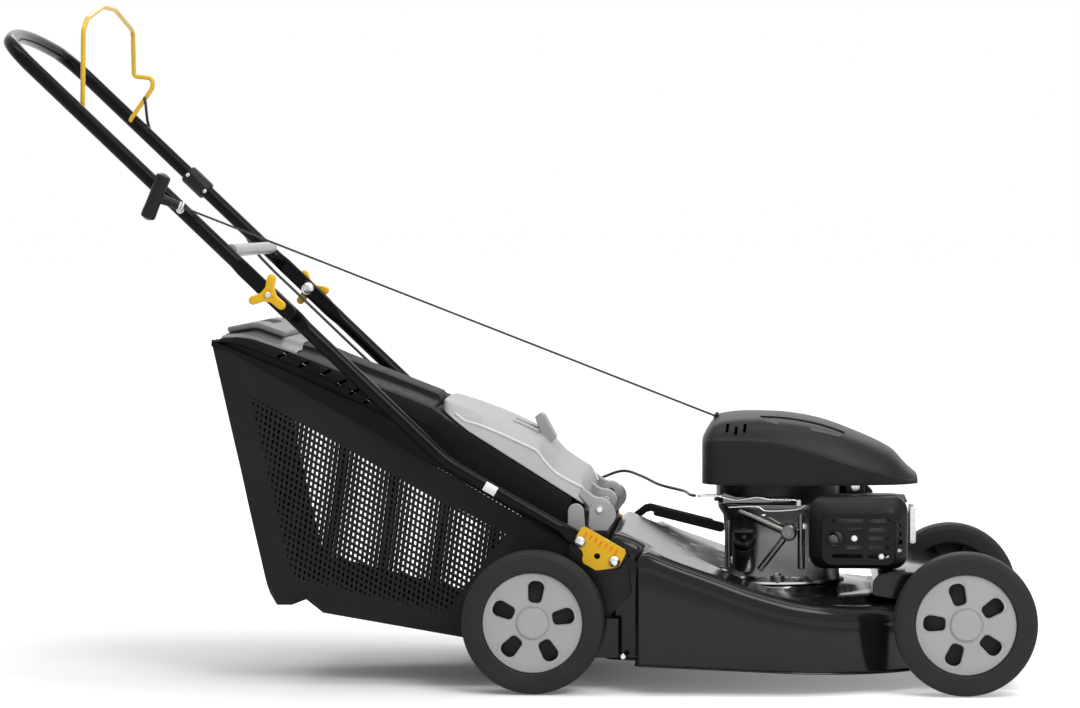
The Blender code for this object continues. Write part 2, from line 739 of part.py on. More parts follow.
def make_upper_handle():
    """The crowned loop with its welded crossbar, pressed flat at the fold."""
    corners = [
        (on_handle(-UPPER_STUB, -HANDLE_Y), 0),
        (on_handle(LOOP_LENGTH - LOOP_CROWN, -HANDLE_Y), LOOP_CORNER),
        (on_handle(LOOP_LENGTH + CROWN_PEAK, 0), CROWN_R),
        (on_handle(LOOP_LENGTH - LOOP_CROWN, HANDLE_Y), LOOP_CORNER),
        (on_handle(-UPPER_STUB, HANDLE_Y), 0),
    ]
    run = bent(corners, 4)
    right = [on_handle(u, -HANDLE_Y) for u in (-UPPER_STUB, -UPPER_STUB + 0.010, 0.050, 0.068)]
    left = [on_handle(u, HANDLE_Y) for u in (0.068, 0.050, -UPPER_STUB + 0.010, -UPPER_STUB)]
    route = [*right, *run[1:-1], *left]
    last = len(route) - 1
    outward = -(FLAT_T / 2 + GAP)

    def section(k):
        if k in (0, last):
            return FLAT_W * 0.30, FLAT_T / 2, 0, outward
        if k in (1, 2, last - 1, last - 2):
            return FLAT_W / 2, FLAT_T / 2, 0, outward
        return TUBE_R, TUBE_R, 0, 0

    handle = pressed_tube("upper_handle", route, FRONTWARD, section)
    bar_ends = [on_handle(CROSSBAR_U, side * (HANDLE_Y - 0.004), CROSSBAR_N) for side in (-1, 1)]
    handle = joined(handle, rod("crossbar", *bar_ends, CROSSBAR_R))
    holes = []
    for side in (-1, 1):
        outer = side * (HANDLE_Y + 0.03)
        holes.append(bore(on_handle(0, outer), on_handle(0, side * (HANDLE_Y - 0.03)), BOLT_R + GAP))
        pin_end = on_handle(BAIL_U, side * (HANDLE_Y - 0.003))
        holes.append(bore(pin_end, on_handle(BAIL_U, side * (HANDLE_Y - 0.03)), BAIL_R + GAP))
    return finish(cut(handle, *holes), GLOSS_BLACK, FOLD_POINT)


def make_knob_bolts():
    """Carriage bolts through both tubes, with domed heads inside."""
    inner = HANDLE_Y - FLAT_T - GAP * 2
    tip = HANDLE_Y + FLAT_T + GAP * 2 + KNOB_T + 0.003
    dome = [(0.0, inner - 0.0055), (0.006, inner - 0.0045), (0.009, inner - 0.002), (0.0095, inner)]
    shank = [(BOLT_R, inner), (BOLT_R, tip), (0.0, tip)]
    at = (FOLD_POINT.x, 0, FOLD_POINT.z)
    bolt = turned("knob_bolt_left", dome + shank, at, (0, 1, 0), 10)
    twin = mirrored("knob_bolt_right", bolt)
    return finish(bolt, STEEL), finish(twin, STEEL)


def make_knobs():
    """Three-armed star knobs, domed, on the bolts."""
    centre_x, centre_z = FOLD_POINT.x, FOLD_POINT.z
    knobs = []
    y0 = HANDLE_Y + FLAT_T + GAP * 2 + GAP
    for name, side, lead in (("knob_right", -1, math.radians(80)), ("knob_left", 1, math.radians(70))):
        outline = []
        for k in range(18):
            turn = lead + math.tau * k / 18
            lobe = (0.5 + 0.5 * math.cos(3 * (turn - lead))) ** 1.3
            radius = KNOB_R * (0.36 + 0.64 * lobe)
            outline.append((centre_x + radius * math.cos(turn), centre_z + radius * math.sin(turn)))
        body = slab(name, outline, side * y0, side * (y0 + KNOB_T))
        body = bevelled(body, 0.0025, 1, 50)
        outer = (centre_x, side * (y0 + 0.03), centre_z)
        body = cut(body, bore((centre_x, side * (y0 - 0.01), centre_z), outer, BOLT_R + GAP))
        knobs.append(finish(body, YELLOW, (centre_x, side * (y0 + KNOB_T / 2), centre_z)))
    return knobs


def make_bail():
    """The yellow stop bail: an arch between the tubes, with a crank on its left leg for the cable."""
    def at(x, z, y):
        return BAIL_POINT + Vector((x, y, z))

    run = [
        (at(0, 0, -(HANDLE_Y - 0.0045)), 0),
        (at(0, 0, -BAIL_Y), 0.005),
        (at(0.002, 0.116, -BAIL_Y), 0.020),
        (at(0.004, 0.139, -BAIL_Y + 0.022), 0.020),
        (at(0.006, 0.157, -0.052), 0.030),
        (at(0.007, 0.157, 0.030), 0.030),
        (at(0.008, 0.137, BAIL_Y - 0.020), 0.020),
        (at(0.005, 0.077, BAIL_Y), 0.007),
        (at(0.034, 0.062, BAIL_Y), 0.006),
        (at(0.033, 0.050, BAIL_Y), 0.006),
        (at(0.0, 0.0, BAIL_Y), 0.005),
        (at(0, 0, HANDLE_Y - 0.0045), 0),
    ]
    bail = cord("bail", bent(run, 2), BAIL_R, 1)
    return finish(bail, YELLOW, BAIL_POINT)


def make_rope_guide():
    """A wire eye on a stud at the outside of the right tube."""
    wire = 0.0018
    eye_r = 0.0065
    profile = [(eye_r + wire * math.cos(a), wire * math.sin(a)) for a in [math.tau * k / 5 for k in range(5)]]
    eye = turned("rope_guide", profile, GUIDE_POINT, tuple(ROPE_WAY), 10, closed=True)
    tube_flat = TUBE_R * math.cos(math.pi / 8)
    tube_centre = on_handle((GUIDE_POINT - FOLD_POINT).dot(UP), -HANDLE_Y)
    foot = Vector((tube_centre.x, tube_centre.y - tube_flat - GAP, tube_centre.z))
    arm = GUIDE_POINT + (foot - GUIDE_POINT).normalized() * (eye_r - 0.0005)
    stud = rod("stud", arm, foot - Vector((0, 0.0020, 0)), 0.0024, 6)
    pad = rod("pad", foot, foot - Vector((0, 0.0035, 0)), 0.0055)
    return finish(joined(eye, joined(pad, stud)), STEEL)


def make_starter_grip():
    """A T-shaped grip whose neck rests on the guide, on the rope's line."""
    neck_end = 0.032
    bar = box("starter_grip", (-0.032, -0.0105, -0.009), (0.032, 0.0105, 0.009))
    bar = bevelled(bar, 0.0045)
    long_way = Vector((-ROPE_WAY.z, 0, ROPE_WAY.x)).normalized()
    if long_way.z < 0:
        long_way.negate()
    side_way = ROPE_WAY.cross(long_way).normalized()
    turn = Matrix((long_way, side_way, ROPE_WAY)).transposed().to_4x4()
    bar.data.transform(Matrix.Translation(GUIDE_POINT + ROPE_WAY * 0.039) @ turn)
    neck = rod("neck", GUIDE_POINT + ROPE_WAY * NECK_START, GUIDE_POINT + ROPE_WAY * neck_end, 0.0062, 14, 0.0075)
    return finish(joined(bar, neck), SATIN_BLACK, GUIDE_POINT + ROPE_WAY * NECK_START)


def make_cable_clamp():
    """The sleeve that holds the stop cable on the left tube, with its two screws."""
    clamp_u, length, outer = 0.246, 0.042, 0.0155
    inner = (TUBE_R + GAP) / math.cos(math.pi / 10)
    half = length / 2
    profile = [(inner, half), (outer - 0.002, half), (outer, half - 0.003), (outer, 0.003 - half),
               (outer - 0.002, -half), (inner, -half)]
    sleeve = turned("cable_clamp", profile, on_handle(clamp_u, HANDLE_Y), tuple(UP), 10, closed=True)
    for shift in (-0.013, 0.013):
        start = on_handle(clamp_u + shift, HANDLE_Y - outer + 0.0025)
        end = on_handle(clamp_u + shift, HANDLE_Y - outer - 0.002)
        sleeve = joined(sleeve, rod("screw", start, end, 0.0035, 6))
    return finish(sleeve, SATIN_BLACK)


# Flap and grass catcher

def hinge_at(points):
    """Side-view corners drawn from the flap's hinge, with their radii."""
    x, z = REAR_AXLE_X + HINGE[0], HINGE[1]
    return rounded([(x + u, z + v, r) for u, v, r in points])


def make_flap():
    """The grey discharge flap: an open shell with side skirts, a raised top, cheeks at the rod and a finger tab."""
    skirt = hinge_at(
        [(-0.225, 0.139, 0), (-0.192, 0.1165, 0), (-0.025, 0.0115, 0), (-0.013, 0.018, 0), (-0.020, 0.036, 0),
         (-0.056, 0.050, 0), (-0.073, 0.066, 0), (-0.093, 0.088, 0), (-0.1555, 0.114, 0), (-0.228, 0.147, 0)]
    )
    crown = hinge_at(
        [(-0.222, 0.139, 0), (-0.192, 0.1185, 0), (-0.030, 0.016, 0), (-0.015, 0.024, 0), (-0.0215, 0.0525, 0.008),
         (-0.058, 0.073, 0), (-0.109, 0.124, 0.020), (-0.146, 0.138, 0), (-0.224, 0.163, 0)]
    )
    narrow = FLAP_Y - 0.020
    body = slab("flap", skirt, -FLAP_Y, FLAP_Y)
    top = slab("crown", crown, -narrow, narrow)
    body = joined(body, top)
    for outline, lower, half_width in ((skirt, 3, FLAP_Y), (crown, 3, narrow)):
        inner = inset(outline, FLAP_T)
        inner = [(u - 0.0064, v - 0.0102) if k < lower else (u, v) for k, (u, v) in enumerate(inner)]
        body = cut(body, slab("hollow", inner, FLAP_T - half_width, half_width - FLAP_T))
    x, z = REAR_AXLE_X + HINGE[0], HINGE[1]
    for centre_y in (-FLAP_Y + 0.010, 0.0, FLAP_Y - 0.010):
        knuckle = rod("knuckle", (x, centre_y - 0.010, z), (x, centre_y + 0.010, z), 0.0155, 10)
        web = slab("web", hinge_at([(0.002, 0.013, 0), (-0.018, 0.040, 0), (-0.034, 0.030, 0), (-0.012, 0.002, 0)]),
                   centre_y - 0.009, centre_y + 0.009)
        body = joined(body, joined(knuckle, web))
    tab = slab("tab", hinge_at([(-0.090, 0.095, 0.002), (-0.078, 0.083, 0.002), (-0.096, 0.1335, 0.004),
                                (-0.110, 0.1275, 0.004)]), -0.017, 0.017)
    body = joined(body, tab)
    body = cut(body, bore((x, -FLAP_Y - 0.01, z), (x, FLAP_Y + 0.01, z), HINGE_R + GAP))
    return finish(body, GREY_PLASTIC, (x, 0, z))


def from_axle(points):
    """Side-view corners drawn from the rear axle, with their radii."""
    return rounded([(REAR_AXLE_X + u, v, r) for u, v, r in points])


RIM = [(-0.4605, 0.489), (-0.1145, 0.296), (CATCHER_FRONT, 0.2003)]
FLOOR = [(CATCHER_FRONT, 0.127, 0.004), (-0.0345, 0.127, 0.010), (-0.0345, 0.066, 0.014), (-0.0945, 0.066, 0.0),
         (-0.1295, 0.072, 0.0), (-0.3055, 0.102, 0.010), (-0.3295, 0.121, 0.008), (-0.350, 0.113, 0.008),
         (-0.3715, 0.113, 0.012), (-0.3815, 0.130, 0.0)]


def throat_top(u):
    """Height of the catcher's throat, which runs just below the flap's lower edge."""
    share = (0.0645 - u) / 0.167
    return HINGE[1] + 0.0075 + 0.105 * share


HANDLE_T = 0.0085
HANDLE_REACH = 0.038
LID = [(-0.4455, 0.499, 0.010), (-0.4045, 0.507, 0.020), (-0.3085, 0.473, 0.06), (-0.1500, 0.4115, 0.012)]


def make_catcher():
    """The bag and its lid: one hollow body parted along the sloping rim, open to the mouth in front."""
    lid_front = [(-0.1455, throat_top(-0.1455), 0.004), (CATCHER_FRONT, throat_top(CATCHER_FRONT), 0.006)]
    bag_outline = from_axle([(RIM[0][0], RIM[0][1] - GAP, 0.004), *reversed(FLOOR), (RIM[2][0], RIM[2][1] - GAP, 0),
                             (RIM[1][0], RIM[1][1] - GAP, 0)])
    lid_outline = from_axle([(RIM[0][0], RIM[0][1], 0), (RIM[1][0], RIM[1][1], 0), (RIM[2][0], RIM[2][1], 0),
                             *reversed(lid_front), *reversed(LID)])
    whole = from_axle([*FLOOR, (RIM[0][0], RIM[0][1], 0.004), *LID, *lid_front])
    cavity = inset(whole, CATCHER_WALL)
    inner_y = CATCHER_Y - CATCHER_WALL
    front = REAR_AXLE_X + CATCHER_FRONT
    mouth_low = (front - 0.03, -inner_y, 0.127 + CATCHER_WALL)
    mouth_high = (front + 0.02, inner_y, CHUTE_TOP + 0.010)
    bag = bevelled(slab("catcher_bag", bag_outline, -CATCHER_Y, CATCHER_Y), 0.004, 1, 60)
    bag = cut(bag, slab("cavity", cavity, -inner_y, inner_y), box("mouth", mouth_low, mouth_high))
    lid = bevelled(slab("catcher_lid", lid_outline, -CATCHER_Y, CATCHER_Y), 0.006, 1, 60)
    lid = cut(lid, slab("cavity", cavity, -inner_y, inner_y), box("mouth", mouth_low, mouth_high))
    return finish(bag, FABRIC_BLACK), finish(lid, SATIN_BLACK)


def make_catcher_handle():
    """The grey panel on the lid's rear, with its finger hole."""
    lid = from_axle([(RIM[0][0], RIM[0][1], 0), *LID, (0, RIM[1][1], 0)])
    lower, upper = inset(lid, -GAP)[2:6], inset(lid, -HANDLE_T)[2:6]
    for edge in (lower, upper):
        ahead = (Vector(edge[3]) - Vector(edge[2])).normalized()
        edge[3] = tuple(Vector(edge[2]) + ahead * HANDLE_REACH)
    outline = [*lower, *reversed(upper)]
    panel = bevelled(slab("catcher_handle", outline, -0.120, 0.120), 0.002)
    grip = (REAR_AXLE_X - 0.418, REAR_AXLE_X - 0.390)
    panel = cut(panel, box("finger_hole", (grip[0], -0.045, 0.49), (grip[1], 0.045, 0.53)))
    return finish(panel, GREY_PLASTIC)


# Wheels, axles and height adjustment

def make_wheels():
    """Wheels with their bearings, and the grey covers with five windows each."""
    stretch = 1 / math.cos(math.pi / WHEEL_SIDES)
    half = WHEEL_W / 2
    seat = HUB_R + GAP * 2
    bearing = STUB_R + GAP
    for end, axle_x in (("front", FRONT_AXLE_X), ("rear", REAR_AXLE_X)):
        for side_name, side in (("right", -1), ("left", 1)):
            at = (axle_x, side * WHEEL_Y, BASE_DROP)
            axis = (0, side, 0)
            rim = WHEEL_R * stretch
            profile = [
                (bearing, 0.009),
                (seat, 0.001),
                (seat, half - 0.001),
                (rim - 0.006, half),
                (rim, half - 0.006),
                (rim, 0.006 - half),
                (rim - 0.006, -half),
                (seat, -half),
                (seat, -0.004),
                (0.0165, -0.004),
                (0.0150, 0.001 - half),
                (bearing, 0.001 - half),
            ]
            tyre = turned(f"tyre_{end}_{side_name}", profile, at, axis, WHEEL_SIDES, closed=True)
            finish(tyre, RUBBER, at)
            make_hub(f"hub_{end}_{side_name}", at, side)


WINDOW_LEAD = {"rear": 84, "front": 105}


def make_hub(name, at, side):
    """A domed cover with a raised round cap and five windows that widen outward."""
    half = WHEEL_W / 2
    dome = [(0.0, half - 0.0015), (0.0215, half - 0.0015), (0.0230, half - 0.0045), (0.064, half - 0.0045),
            (HUB_R, half - 0.0075), (HUB_R, half - 0.0095), (0.0, half - 0.0075)]
    cover = turned(name, list(reversed(dome)), at, (0, side, 0), WHEEL_SIDES)
    for k in range(5):
        turn = math.radians(WINDOW_LEAD[name.split("_")[1]] + 72 * k)
        window = [(0.0295, -0.0070), (0.0570, -0.0100), (0.0570, 0.0100), (0.0295, 0.0070)]
        placed = [
            (at[0] + u * math.cos(turn) - v * math.sin(turn), at[2] + u * math.sin(turn) + v * math.cos(turn))
            for u, v in window
        ]
        y_mid = side * (abs(at[1]) + half - 0.006)
        cover = cut(cover, slab("window", placed, y_mid - 0.01, y_mid + 0.01))
    return finish(cover, GREY_PLASTIC, at)


def axle_body(name, axle_x):
    """A crank axle: the shaft between the brackets, an arm and a stub for each wheel, and the link's arm."""
    shaft_x = axle_x + PIVOT_DX
    reach = ARM_OUT - 0.001
    body = rod(name, (shaft_x, -reach, PIVOT_Z), (shaft_x, reach, PIVOT_Z), STUB_R)
    nut_in = WHEEL_Y + 0.009 + GAP
    for side in (-1, 1):
        arm = capsule((shaft_x, PIVOT_Z), (axle_x, BASE_DROP), 0.0125, 0.011)
        stub = rod("stub", (axle_x, side * (ARM_OUT - 0.002), BASE_DROP), (axle_x, side * (nut_in + 0.001), BASE_DROP), STUB_R)
        nut = rod("nut", (axle_x, side * nut_in, BASE_DROP), (axle_x, side * (nut_in + 0.0040), BASE_DROP), 0.0095, 6)
        body = joined(body, slab("arm", arm, side * ARM_IN, side * ARM_OUT), stub, nut)
    return joined(body, link_arm((shaft_x, PIVOT_Z), (shaft_x + LINK_DX, LINK_Z), LINK_PIN_R))


def link_arm(shaft, pin, pin_r):
    """The short arm whose pin reaches through the link rod."""
    y1 = LINK_IN - GAP
    arm = slab("link_arm", capsule(shaft, pin, 0.010, 0.0065), y1 - LINK_ARM_T, y1)
    pin_x, pin_z = pin
    return joined(arm, rod("pin", (pin_x, y1 - 0.001, pin_z), (pin_x, LINK_IN + LINK_T + 0.001, pin_z), pin_r, 12))


def make_axles():
    rear = axle_body("rear_axle", REAR_AXLE_X)
    front = axle_body("front_axle", FRONT_AXLE_X)
    finish(rear, STEEL, (REAR_AXLE_X + PIVOT_DX, 0, PIVOT_Z))
    finish(front, STEEL, (FRONT_AXLE_X + PIVOT_DX, 0, PIVOT_Z))


def make_link_rod():
    """The flat bar that ties both crank axles and the lever together, with an upright slot for the lever's pin."""
    ends = [(x + PIVOT_DX + LINK_DX, LINK_Z) for x in (REAR_AXLE_X, FRONT_AXLE_X)]
    holes = [hole(*end, LINK_PIN_R + GAP) for end in ends]
    travel = LINK_ARM_R * (1 - math.cos(CRANK_ANGLE)) + GAP
    slot_x = REAR_AXLE_X + LEVER_X + LINK_DX
    slot_r = LEVER_PIN_R + GAP
    slot_r /= math.cos(math.pi / 8)
    holes.append(capsule((slot_x, LINK_Z - travel), (slot_x, LINK_Z + travel), slot_r, slot_r, 5))
    bar = slab("link_rod", capsule(*ends, LINK_H / 2, LINK_H / 2), LINK_IN, LINK_IN + LINK_T, holes)
    return finish(bar, STEEL, (ends[0][0], LINK_IN + LINK_T / 2, LINK_Z))


def make_height_lever():
    """The lever on the left side: shaft through the deck, flat stem and forward grip."""
    x = REAR_AXLE_X + LEVER_X
    y0 = DECK_R + PLATE_T + GAP * 3
    y1 = y0 + PLATE_T
    outline = rounded(
        [(x - 0.009, LEVER_Z - 0.003, 0.0), (x + 0.009, LEVER_Z + 0.003, 0.0), (x - 0.030, 0.2030, 0.004),
         (x - 0.016, 0.2145, 0.008), (x + 0.084, 0.1890, 0.005), (x + 0.087, 0.2010, 0.005),
         (x - 0.018, 0.2270, 0.010), (x - 0.044, 0.2070, 0.006)]
    )
    lever = bevelled(slab("height_lever", outline, y0, y1), 0.001, 1)
    boss = rod("boss", (x, y0 + 0.0006, LEVER_Z), (x, y1 + 0.0012, LEVER_Z), 0.0125)
    shaft = rod("shaft", (x, LINK_IN - GAP - LINK_ARM_T + 0.0005, LEVER_Z), (x, y0 + 0.001, LEVER_Z), STUB_R)
    arm = link_arm((x, LEVER_Z), (x + LINK_DX, LEVER_Z - LINK_ARM_R * math.cos(CRANK_ANGLE)), LEVER_PIN_R)
    return finish(joined(lever, boss, shaft, arm), SATIN_BLACK, (x, 0, LEVER_Z))


def make_height_rack():
    """The notched sector on the deck's left wall, round the lever's shaft."""
    x = REAR_AXLE_X + LEVER_X
    start, end = math.radians(128), math.radians(62)
    count = RACK_NOTCHES * 4
    outline = []
    for k in range(count + 1):
        turn = start + (end - start) * k / count
        radius = RACK_R - (0.005 if k % 4 in (1, 2) else 0)
        outline.append((x + radius * math.cos(turn), LEVER_Z + radius * math.sin(turn)))
    for k in range(7):
        turn = end + (start - end) * k / 6
        radius = RACK_R - RACK_W
        outline.append((x + radius * math.cos(turn), LEVER_Z + radius * math.sin(turn)))
    return finish(slab("height_rack", outline, DECK_R + GAP, DECK_R + PLATE_T), STEEL)


def make_front_cover():
    """The glossy housing over the front axle, open below, whose end walls carry the shaft."""
    ax = FRONT_AXLE_X
    half = CHUTE_Y
    deck_front = deck_top(BLADE_X + DECK_R - SHOULDER)
    outer = rounded(
        [(ax - 0.128, PAD_Z - 0.005, 0), (ax - 0.126, 0.160, 0.010), (ax - 0.100, 0.167, 0.02), (ax - 0.040, 0.163, 0.02),
         (ax + 0.050, 0.140, 0.03), (ax + 0.086, 0.104, 0.014), (ax + 0.088, 0.062, 0), (ax - 0.010, 0.062, 0),
         (ax - 0.010, deck_front + GAP * 2, 0), (BLADE_X + DECK_R - SHOULDER, deck_front + GAP * 2, 0),
         (BLADE_X + PAD_R + PAD_BLEND, PAD_Z - PAD_DROP + GAP * 2, 0)]
    )
    cover = bevelled(slab("front_axle_cover", outer, -half, half), 0.004, 1, 60)
    inner = inset(outer, 0.004)
    low = [(u, v - (0.02 if v < 0.070 else 0)) for u, v in inner]
    cover = cut(cover, slab("hollow", low, -(half - 0.005), half - 0.005))
    shaft_x = ax + PIVOT_DX
    shaft = bore((shaft_x, -half - 0.01, PIVOT_Z), (shaft_x, half + 0.01, PIVOT_Z), STUB_R + GAP)
    return finish(cut(cover, shaft), GLOSS_BLACK)


# Engine

def from_blade(points):
    return [(BLADE_X + x, y, z) for x, y, z in points]


def make_crankcase():
    """The cast case: base flange, tapering body with ribs, the oil filler's boss and the crankshaft's bore."""
    base_z = PAD_Z + GAP
    flange = rounded(
        [(BLADE_X - 0.090, -0.066, 0.030), (BLADE_X + CASE_FRONT, -0.084, 0.030), (BLADE_X + CASE_FRONT, 0.084, 0.030),
         (BLADE_X - 0.090, 0.066, 0.030)])
    case = plate("crankcase", flange, 0.012, level(base_z + 0.006))

    def wall(z, back, front, half):
        outline = rounded([(BLADE_X - back, -half, 0.022), (BLADE_X + front, -half, 0.016),
                           (BLADE_X + front, half, 0.016), (BLADE_X - back, half, 0.022)])
        return [(u, v, z) for u, v in outline]

    body = loft("body", [wall(base_z + 0.010, 0.088, CASE_FRONT - 0.004, 0.082),
                         wall(base_z + 0.045, 0.082, CASE_FRONT, 0.078),
                         wall(CASE_TOP - 0.014, 0.084, CASE_FRONT, 0.080),
                         wall(CASE_TOP - 0.004, 0.090, CASE_FRONT, 0.086),
                         wall(CASE_TOP, 0.090, CASE_FRONT, 0.086)])
    case = joined(case, body)
    rib_y0, rib_y1 = -0.070, -0.0845
    middle_z = (base_z + CASE_TOP) / 2
    hub = (BLADE_X + 0.030, middle_z - 0.012)
    web = rod("hub", (hub[0], rib_y0, hub[1]), (hub[0], rib_y1 - 0.0010, hub[1]), 0.0065)
    for k, (u, v) in enumerate(((-0.060, 0.042), (0.064, -0.040), (-0.020, -0.042), (0.030, -0.044), (0.076, 0.030))):
        tip = (BLADE_X + u, middle_z + v)
        web = joined(web, slab("rib", capsule(hub, tip, 0.0045, 0.0030, 3), rib_y0 + 0.0002 * k, rib_y1 - 0.0001 * k))
    case = joined(case, web)
    boss_start, boss_end = Vector((*DIP_FOOT[:2], DIP_FOOT[2])), DIP_FOOT + DIP_WAY * 0.022
    case = joined(case, rod("boss", boss_start - DIP_WAY * 0.02, boss_end, 0.0165, 10))
    filler = rod("filler", DIP_FOOT - DIP_WAY * 0.030, boss_end + DIP_WAY * 0.01, 0.0095)
    shaft = bore((BLADE_X, 0, base_z - 0.01), (BLADE_X, 0, CASE_TOP + 0.01), SHAFT_R + GAP, 14)
    x, y, z = BRAKE_AT
    collar = rod("collar", (x, y, CASE_TOP - 0.002), (x, y, z + 0.002 - GAP), 0.0055)
    post = rod("post", (x, y, z), (x, y, z + 0.007), 0.003)
    return finish(cut(joined(case, collar, post), filler, shaft), ALUMINIUM)


DIP_FOOT = Vector((BLADE_X - 0.048, -0.082, 0.182))
DIP_WAY = Vector((0, -math.cos(math.radians(52)), math.sin(math.radians(52))))


def fluted(name, at, axis, radius, length, lobes, depth=0.0016):
    """A cap whose rim has rounded flutes."""
    count = lobes * 4
    outline = [
        ((radius - depth * (k % 4 in (2, 3))) * math.cos(math.tau * k / count),
         (radius - depth * (k % 4 in (2, 3))) * math.sin(math.tau * k / count))
        for k in range(count)
    ]
    cap = plate(name, outline, length, level(length / 2))
    turn = Vector((0, 0, 1)).rotation_difference(Vector(axis)).to_matrix().to_4x4()
    cap.data.transform(Matrix.Translation(at) @ turn)
    return cap


def make_dipstick():
    """The oil filler's black cap with its measuring stick."""
    seat = DIP_FOOT + DIP_WAY * (0.022 + GAP)
    cap = fluted("dipstick", seat, DIP_WAY, 0.0175, 0.012, 6)
    grip = box("grip", (-0.014, -0.0035, 0.010), (0.014, 0.0035, 0.026))
    turn = Vector((0, 0, 1)).rotation_difference(DIP_WAY).to_matrix().to_4x4()
    grip.data.transform(Matrix.Translation(seat) @ turn)
    stick = rod("stick", seat - DIP_WAY * 0.040, seat + DIP_WAY * 0.002, 0.0030, 8)
    return finish(joined(cap, bevelled(grip, 0.002, 1), stick), SATIN_BLACK, seat)


def make_cylinder_head():
    """The finned cylinder and head, lying forward from the case."""
    x0 = BLADE_X + HEAD_X
    core = box("cylinder_head", (x0, -0.036, 0.176), (x0 + 0.076, 0.036, 0.246))
    fins = []
    for k in range(7):
        x = x0 + 0.005 + 0.0108 * k
        outline = [(-0.052, 0.1705), (0.052, 0.1705), (0.052, 0.2515), (-0.052, 0.2515)]
        fins.append(plate("fin", outline, 0.0030, facing(x)))
    return finish(joined(core, *fins), ALUMINIUM)


def make_valve_cover():
    x0 = BLADE_X + HEAD_X + 0.076 + GAP
    cover = plate("valve_cover", rounded_box((-0.040, 0.184), (0.040, 0.243), 0.010), 0.005, facing(x0 + 0.0025))
    dome = plate("dome", rounded_box((-0.034, 0.190), (0.034, 0.237), 0.010), 0.018, facing(x0 + 0.011))
    return finish(joined(cover, bevelled(dome, 0.005, 2, 60)), ALUMINIUM)


def make_spark_plug():
    """The plug with its boot, on the head's left front."""
    at = (BLADE_X + HEAD_X + 0.060, 0.052 + GAP, 0.222)
    profile = [(0.0, 0.0), (0.0095, 0.0), (0.0095, 0.007), (0.0075, 0.008), (0.0075, 0.018), (0.0110, 0.019),
               (0.0110, 0.037), (0.0085, 0.044), (0.0, 0.045)]
    return finish(turned("spark_plug", profile, at, (0, 1, 0), 10), SATIN_BLACK)


def make_intake():
    """The carburettor and the air filter's box on the engine's left."""
    y0 = 0.052 + GAP
    x = BLADE_X + HEAD_X
    y1 = y0 + 0.035
    carburettor = box("carburettor", (x + 0.004, y0, 0.200), (x + 0.040, y1, 0.238))
    bowl = rod("bowl", (x + 0.022, y0 + 0.016, 0.186), (x + 0.022, y0 + 0.016, 0.202), 0.014, 16)
    finish(joined(bevelled(carburettor, 0.003, 1), bowl), ALUMINIUM)
    outline = rounded_box((x - 0.050, 0.180), (x + 0.048, 0.272), 0.014)
    filter_box = bevelled(slab("air_filter_box", outline, y1 + GAP, y1 + 0.045), 0.007, 1, 60)
    return finish(filter_box, SATIN_BLACK)


def make_muffler():
    """The silencer on the engine's right, with its pipe's end, and the slotted guard round it."""
    x = BLADE_X
    y0 = -(0.052 + GAP)
    muffler_in, muffler_out = -0.0885, -0.1405
    outline = rounded_box((x + 0.056, 0.182), (x + 0.170, 0.2525), 0.018)
    muffler = bevelled(slab("muffler", outline, muffler_in, muffler_out), 0.007, 1, 60)
    pipe = rod("pipe", (x + 0.125, y0, 0.214), (x + 0.125, muffler_in - 0.005, 0.214), 0.014, 10)
    outlet = rod("outlet", (x + 0.078, muffler_out + 0.005, 0.209), (x + 0.078, muffler_out - 0.012, 0.209), 0.009, 10)
    finish(joined(muffler, pipe, outlet), STEEL)
    low, high = (x + 0.044, 0.1685), (x + 0.184, 0.271)
    deep, face = -0.116, -0.172
    guard = slab("muffler_guard", rounded_box(low, high, 0.014), deep, face)
    guard = bevelled(guard, 0.008, 1, 60)
    hollow = slab("hollow", rounded_box((low[0] + 0.003, low[1] + 0.003), (high[0] - 0.003, high[1] - 0.003), 0.012),
                  deep + 0.01, face + 0.0035)
    slots = []
    for row in range(6):
        z = 0.190 + 0.0118 * row
        for u0, u1 in ((0.066 if row not in (1, 2, 3) else 0.096, 0.108), (0.114, 0.140)):
            slots.append(box("slot", (x + u0, face - 0.02, z), (x + u1, face + 0.02, z + 0.0045)))
    slots.append(rod("outlet_hole", (x + 0.078, face - 0.02, 0.209), (x + 0.078, face + 0.02, 0.209), 0.0115, 12))
    guard = cut(guard, hollow, *slots)
    for u, z in ((0.150, 0.240), (0.150, 0.190)):
        guard = joined(guard, rod("foot", (x + u, face + 0.002, z), (x + u, muffler_out - GAP, z), 0.0045))
    return finish(guard, SATIN_BLACK)


def make_blower_housing():
    """The fan's housing on the case and over the cylinder, with the flange that the cowl stands on."""
    z0 = CASE_TOP + GAP
    inner, wall_t = FLYWHEEL_R + FAN_ROOM, 0.003
    back, side = inner + 0.0055, inner + 0.0015
    floor = rounded([(BLADE_X - back, -side, 0.050), (BLADE_X + 0.186, -0.070, 0.020),
                     (BLADE_X + 0.186, 0.070, 0.020), (BLADE_X - back, side, 0.050)])
    housing = plate("blower_housing", floor, 0.003, level(z0 + 0.0015), [ring(BLADE_X, 0, SHAFT_R + 0.003, 12)])
    high = COWL_Z - GAP
    wall = turned("wall", [(inner, high), (inner + wall_t, high), (inner + wall_t, z0 + 0.001), (inner, z0 + 0.001)],
                  (BLADE_X, 0, 0), (0, 0, 1), 16, closed=True)
    rim = [(BLADE_X + x, -half) for x, half, _, _ in COWL_SECTIONS]
    rim += [(BLADE_X + x, half) for x, half, _, _ in reversed(COWL_SECTIONS)]
    flange = plate("flange", rim, 0.002, level(high - 0.0012), [ring(BLADE_X, 0, inner + wall_t / 2, 16)])
    return finish(joined(housing, wall, flange), SATIN_BLACK)


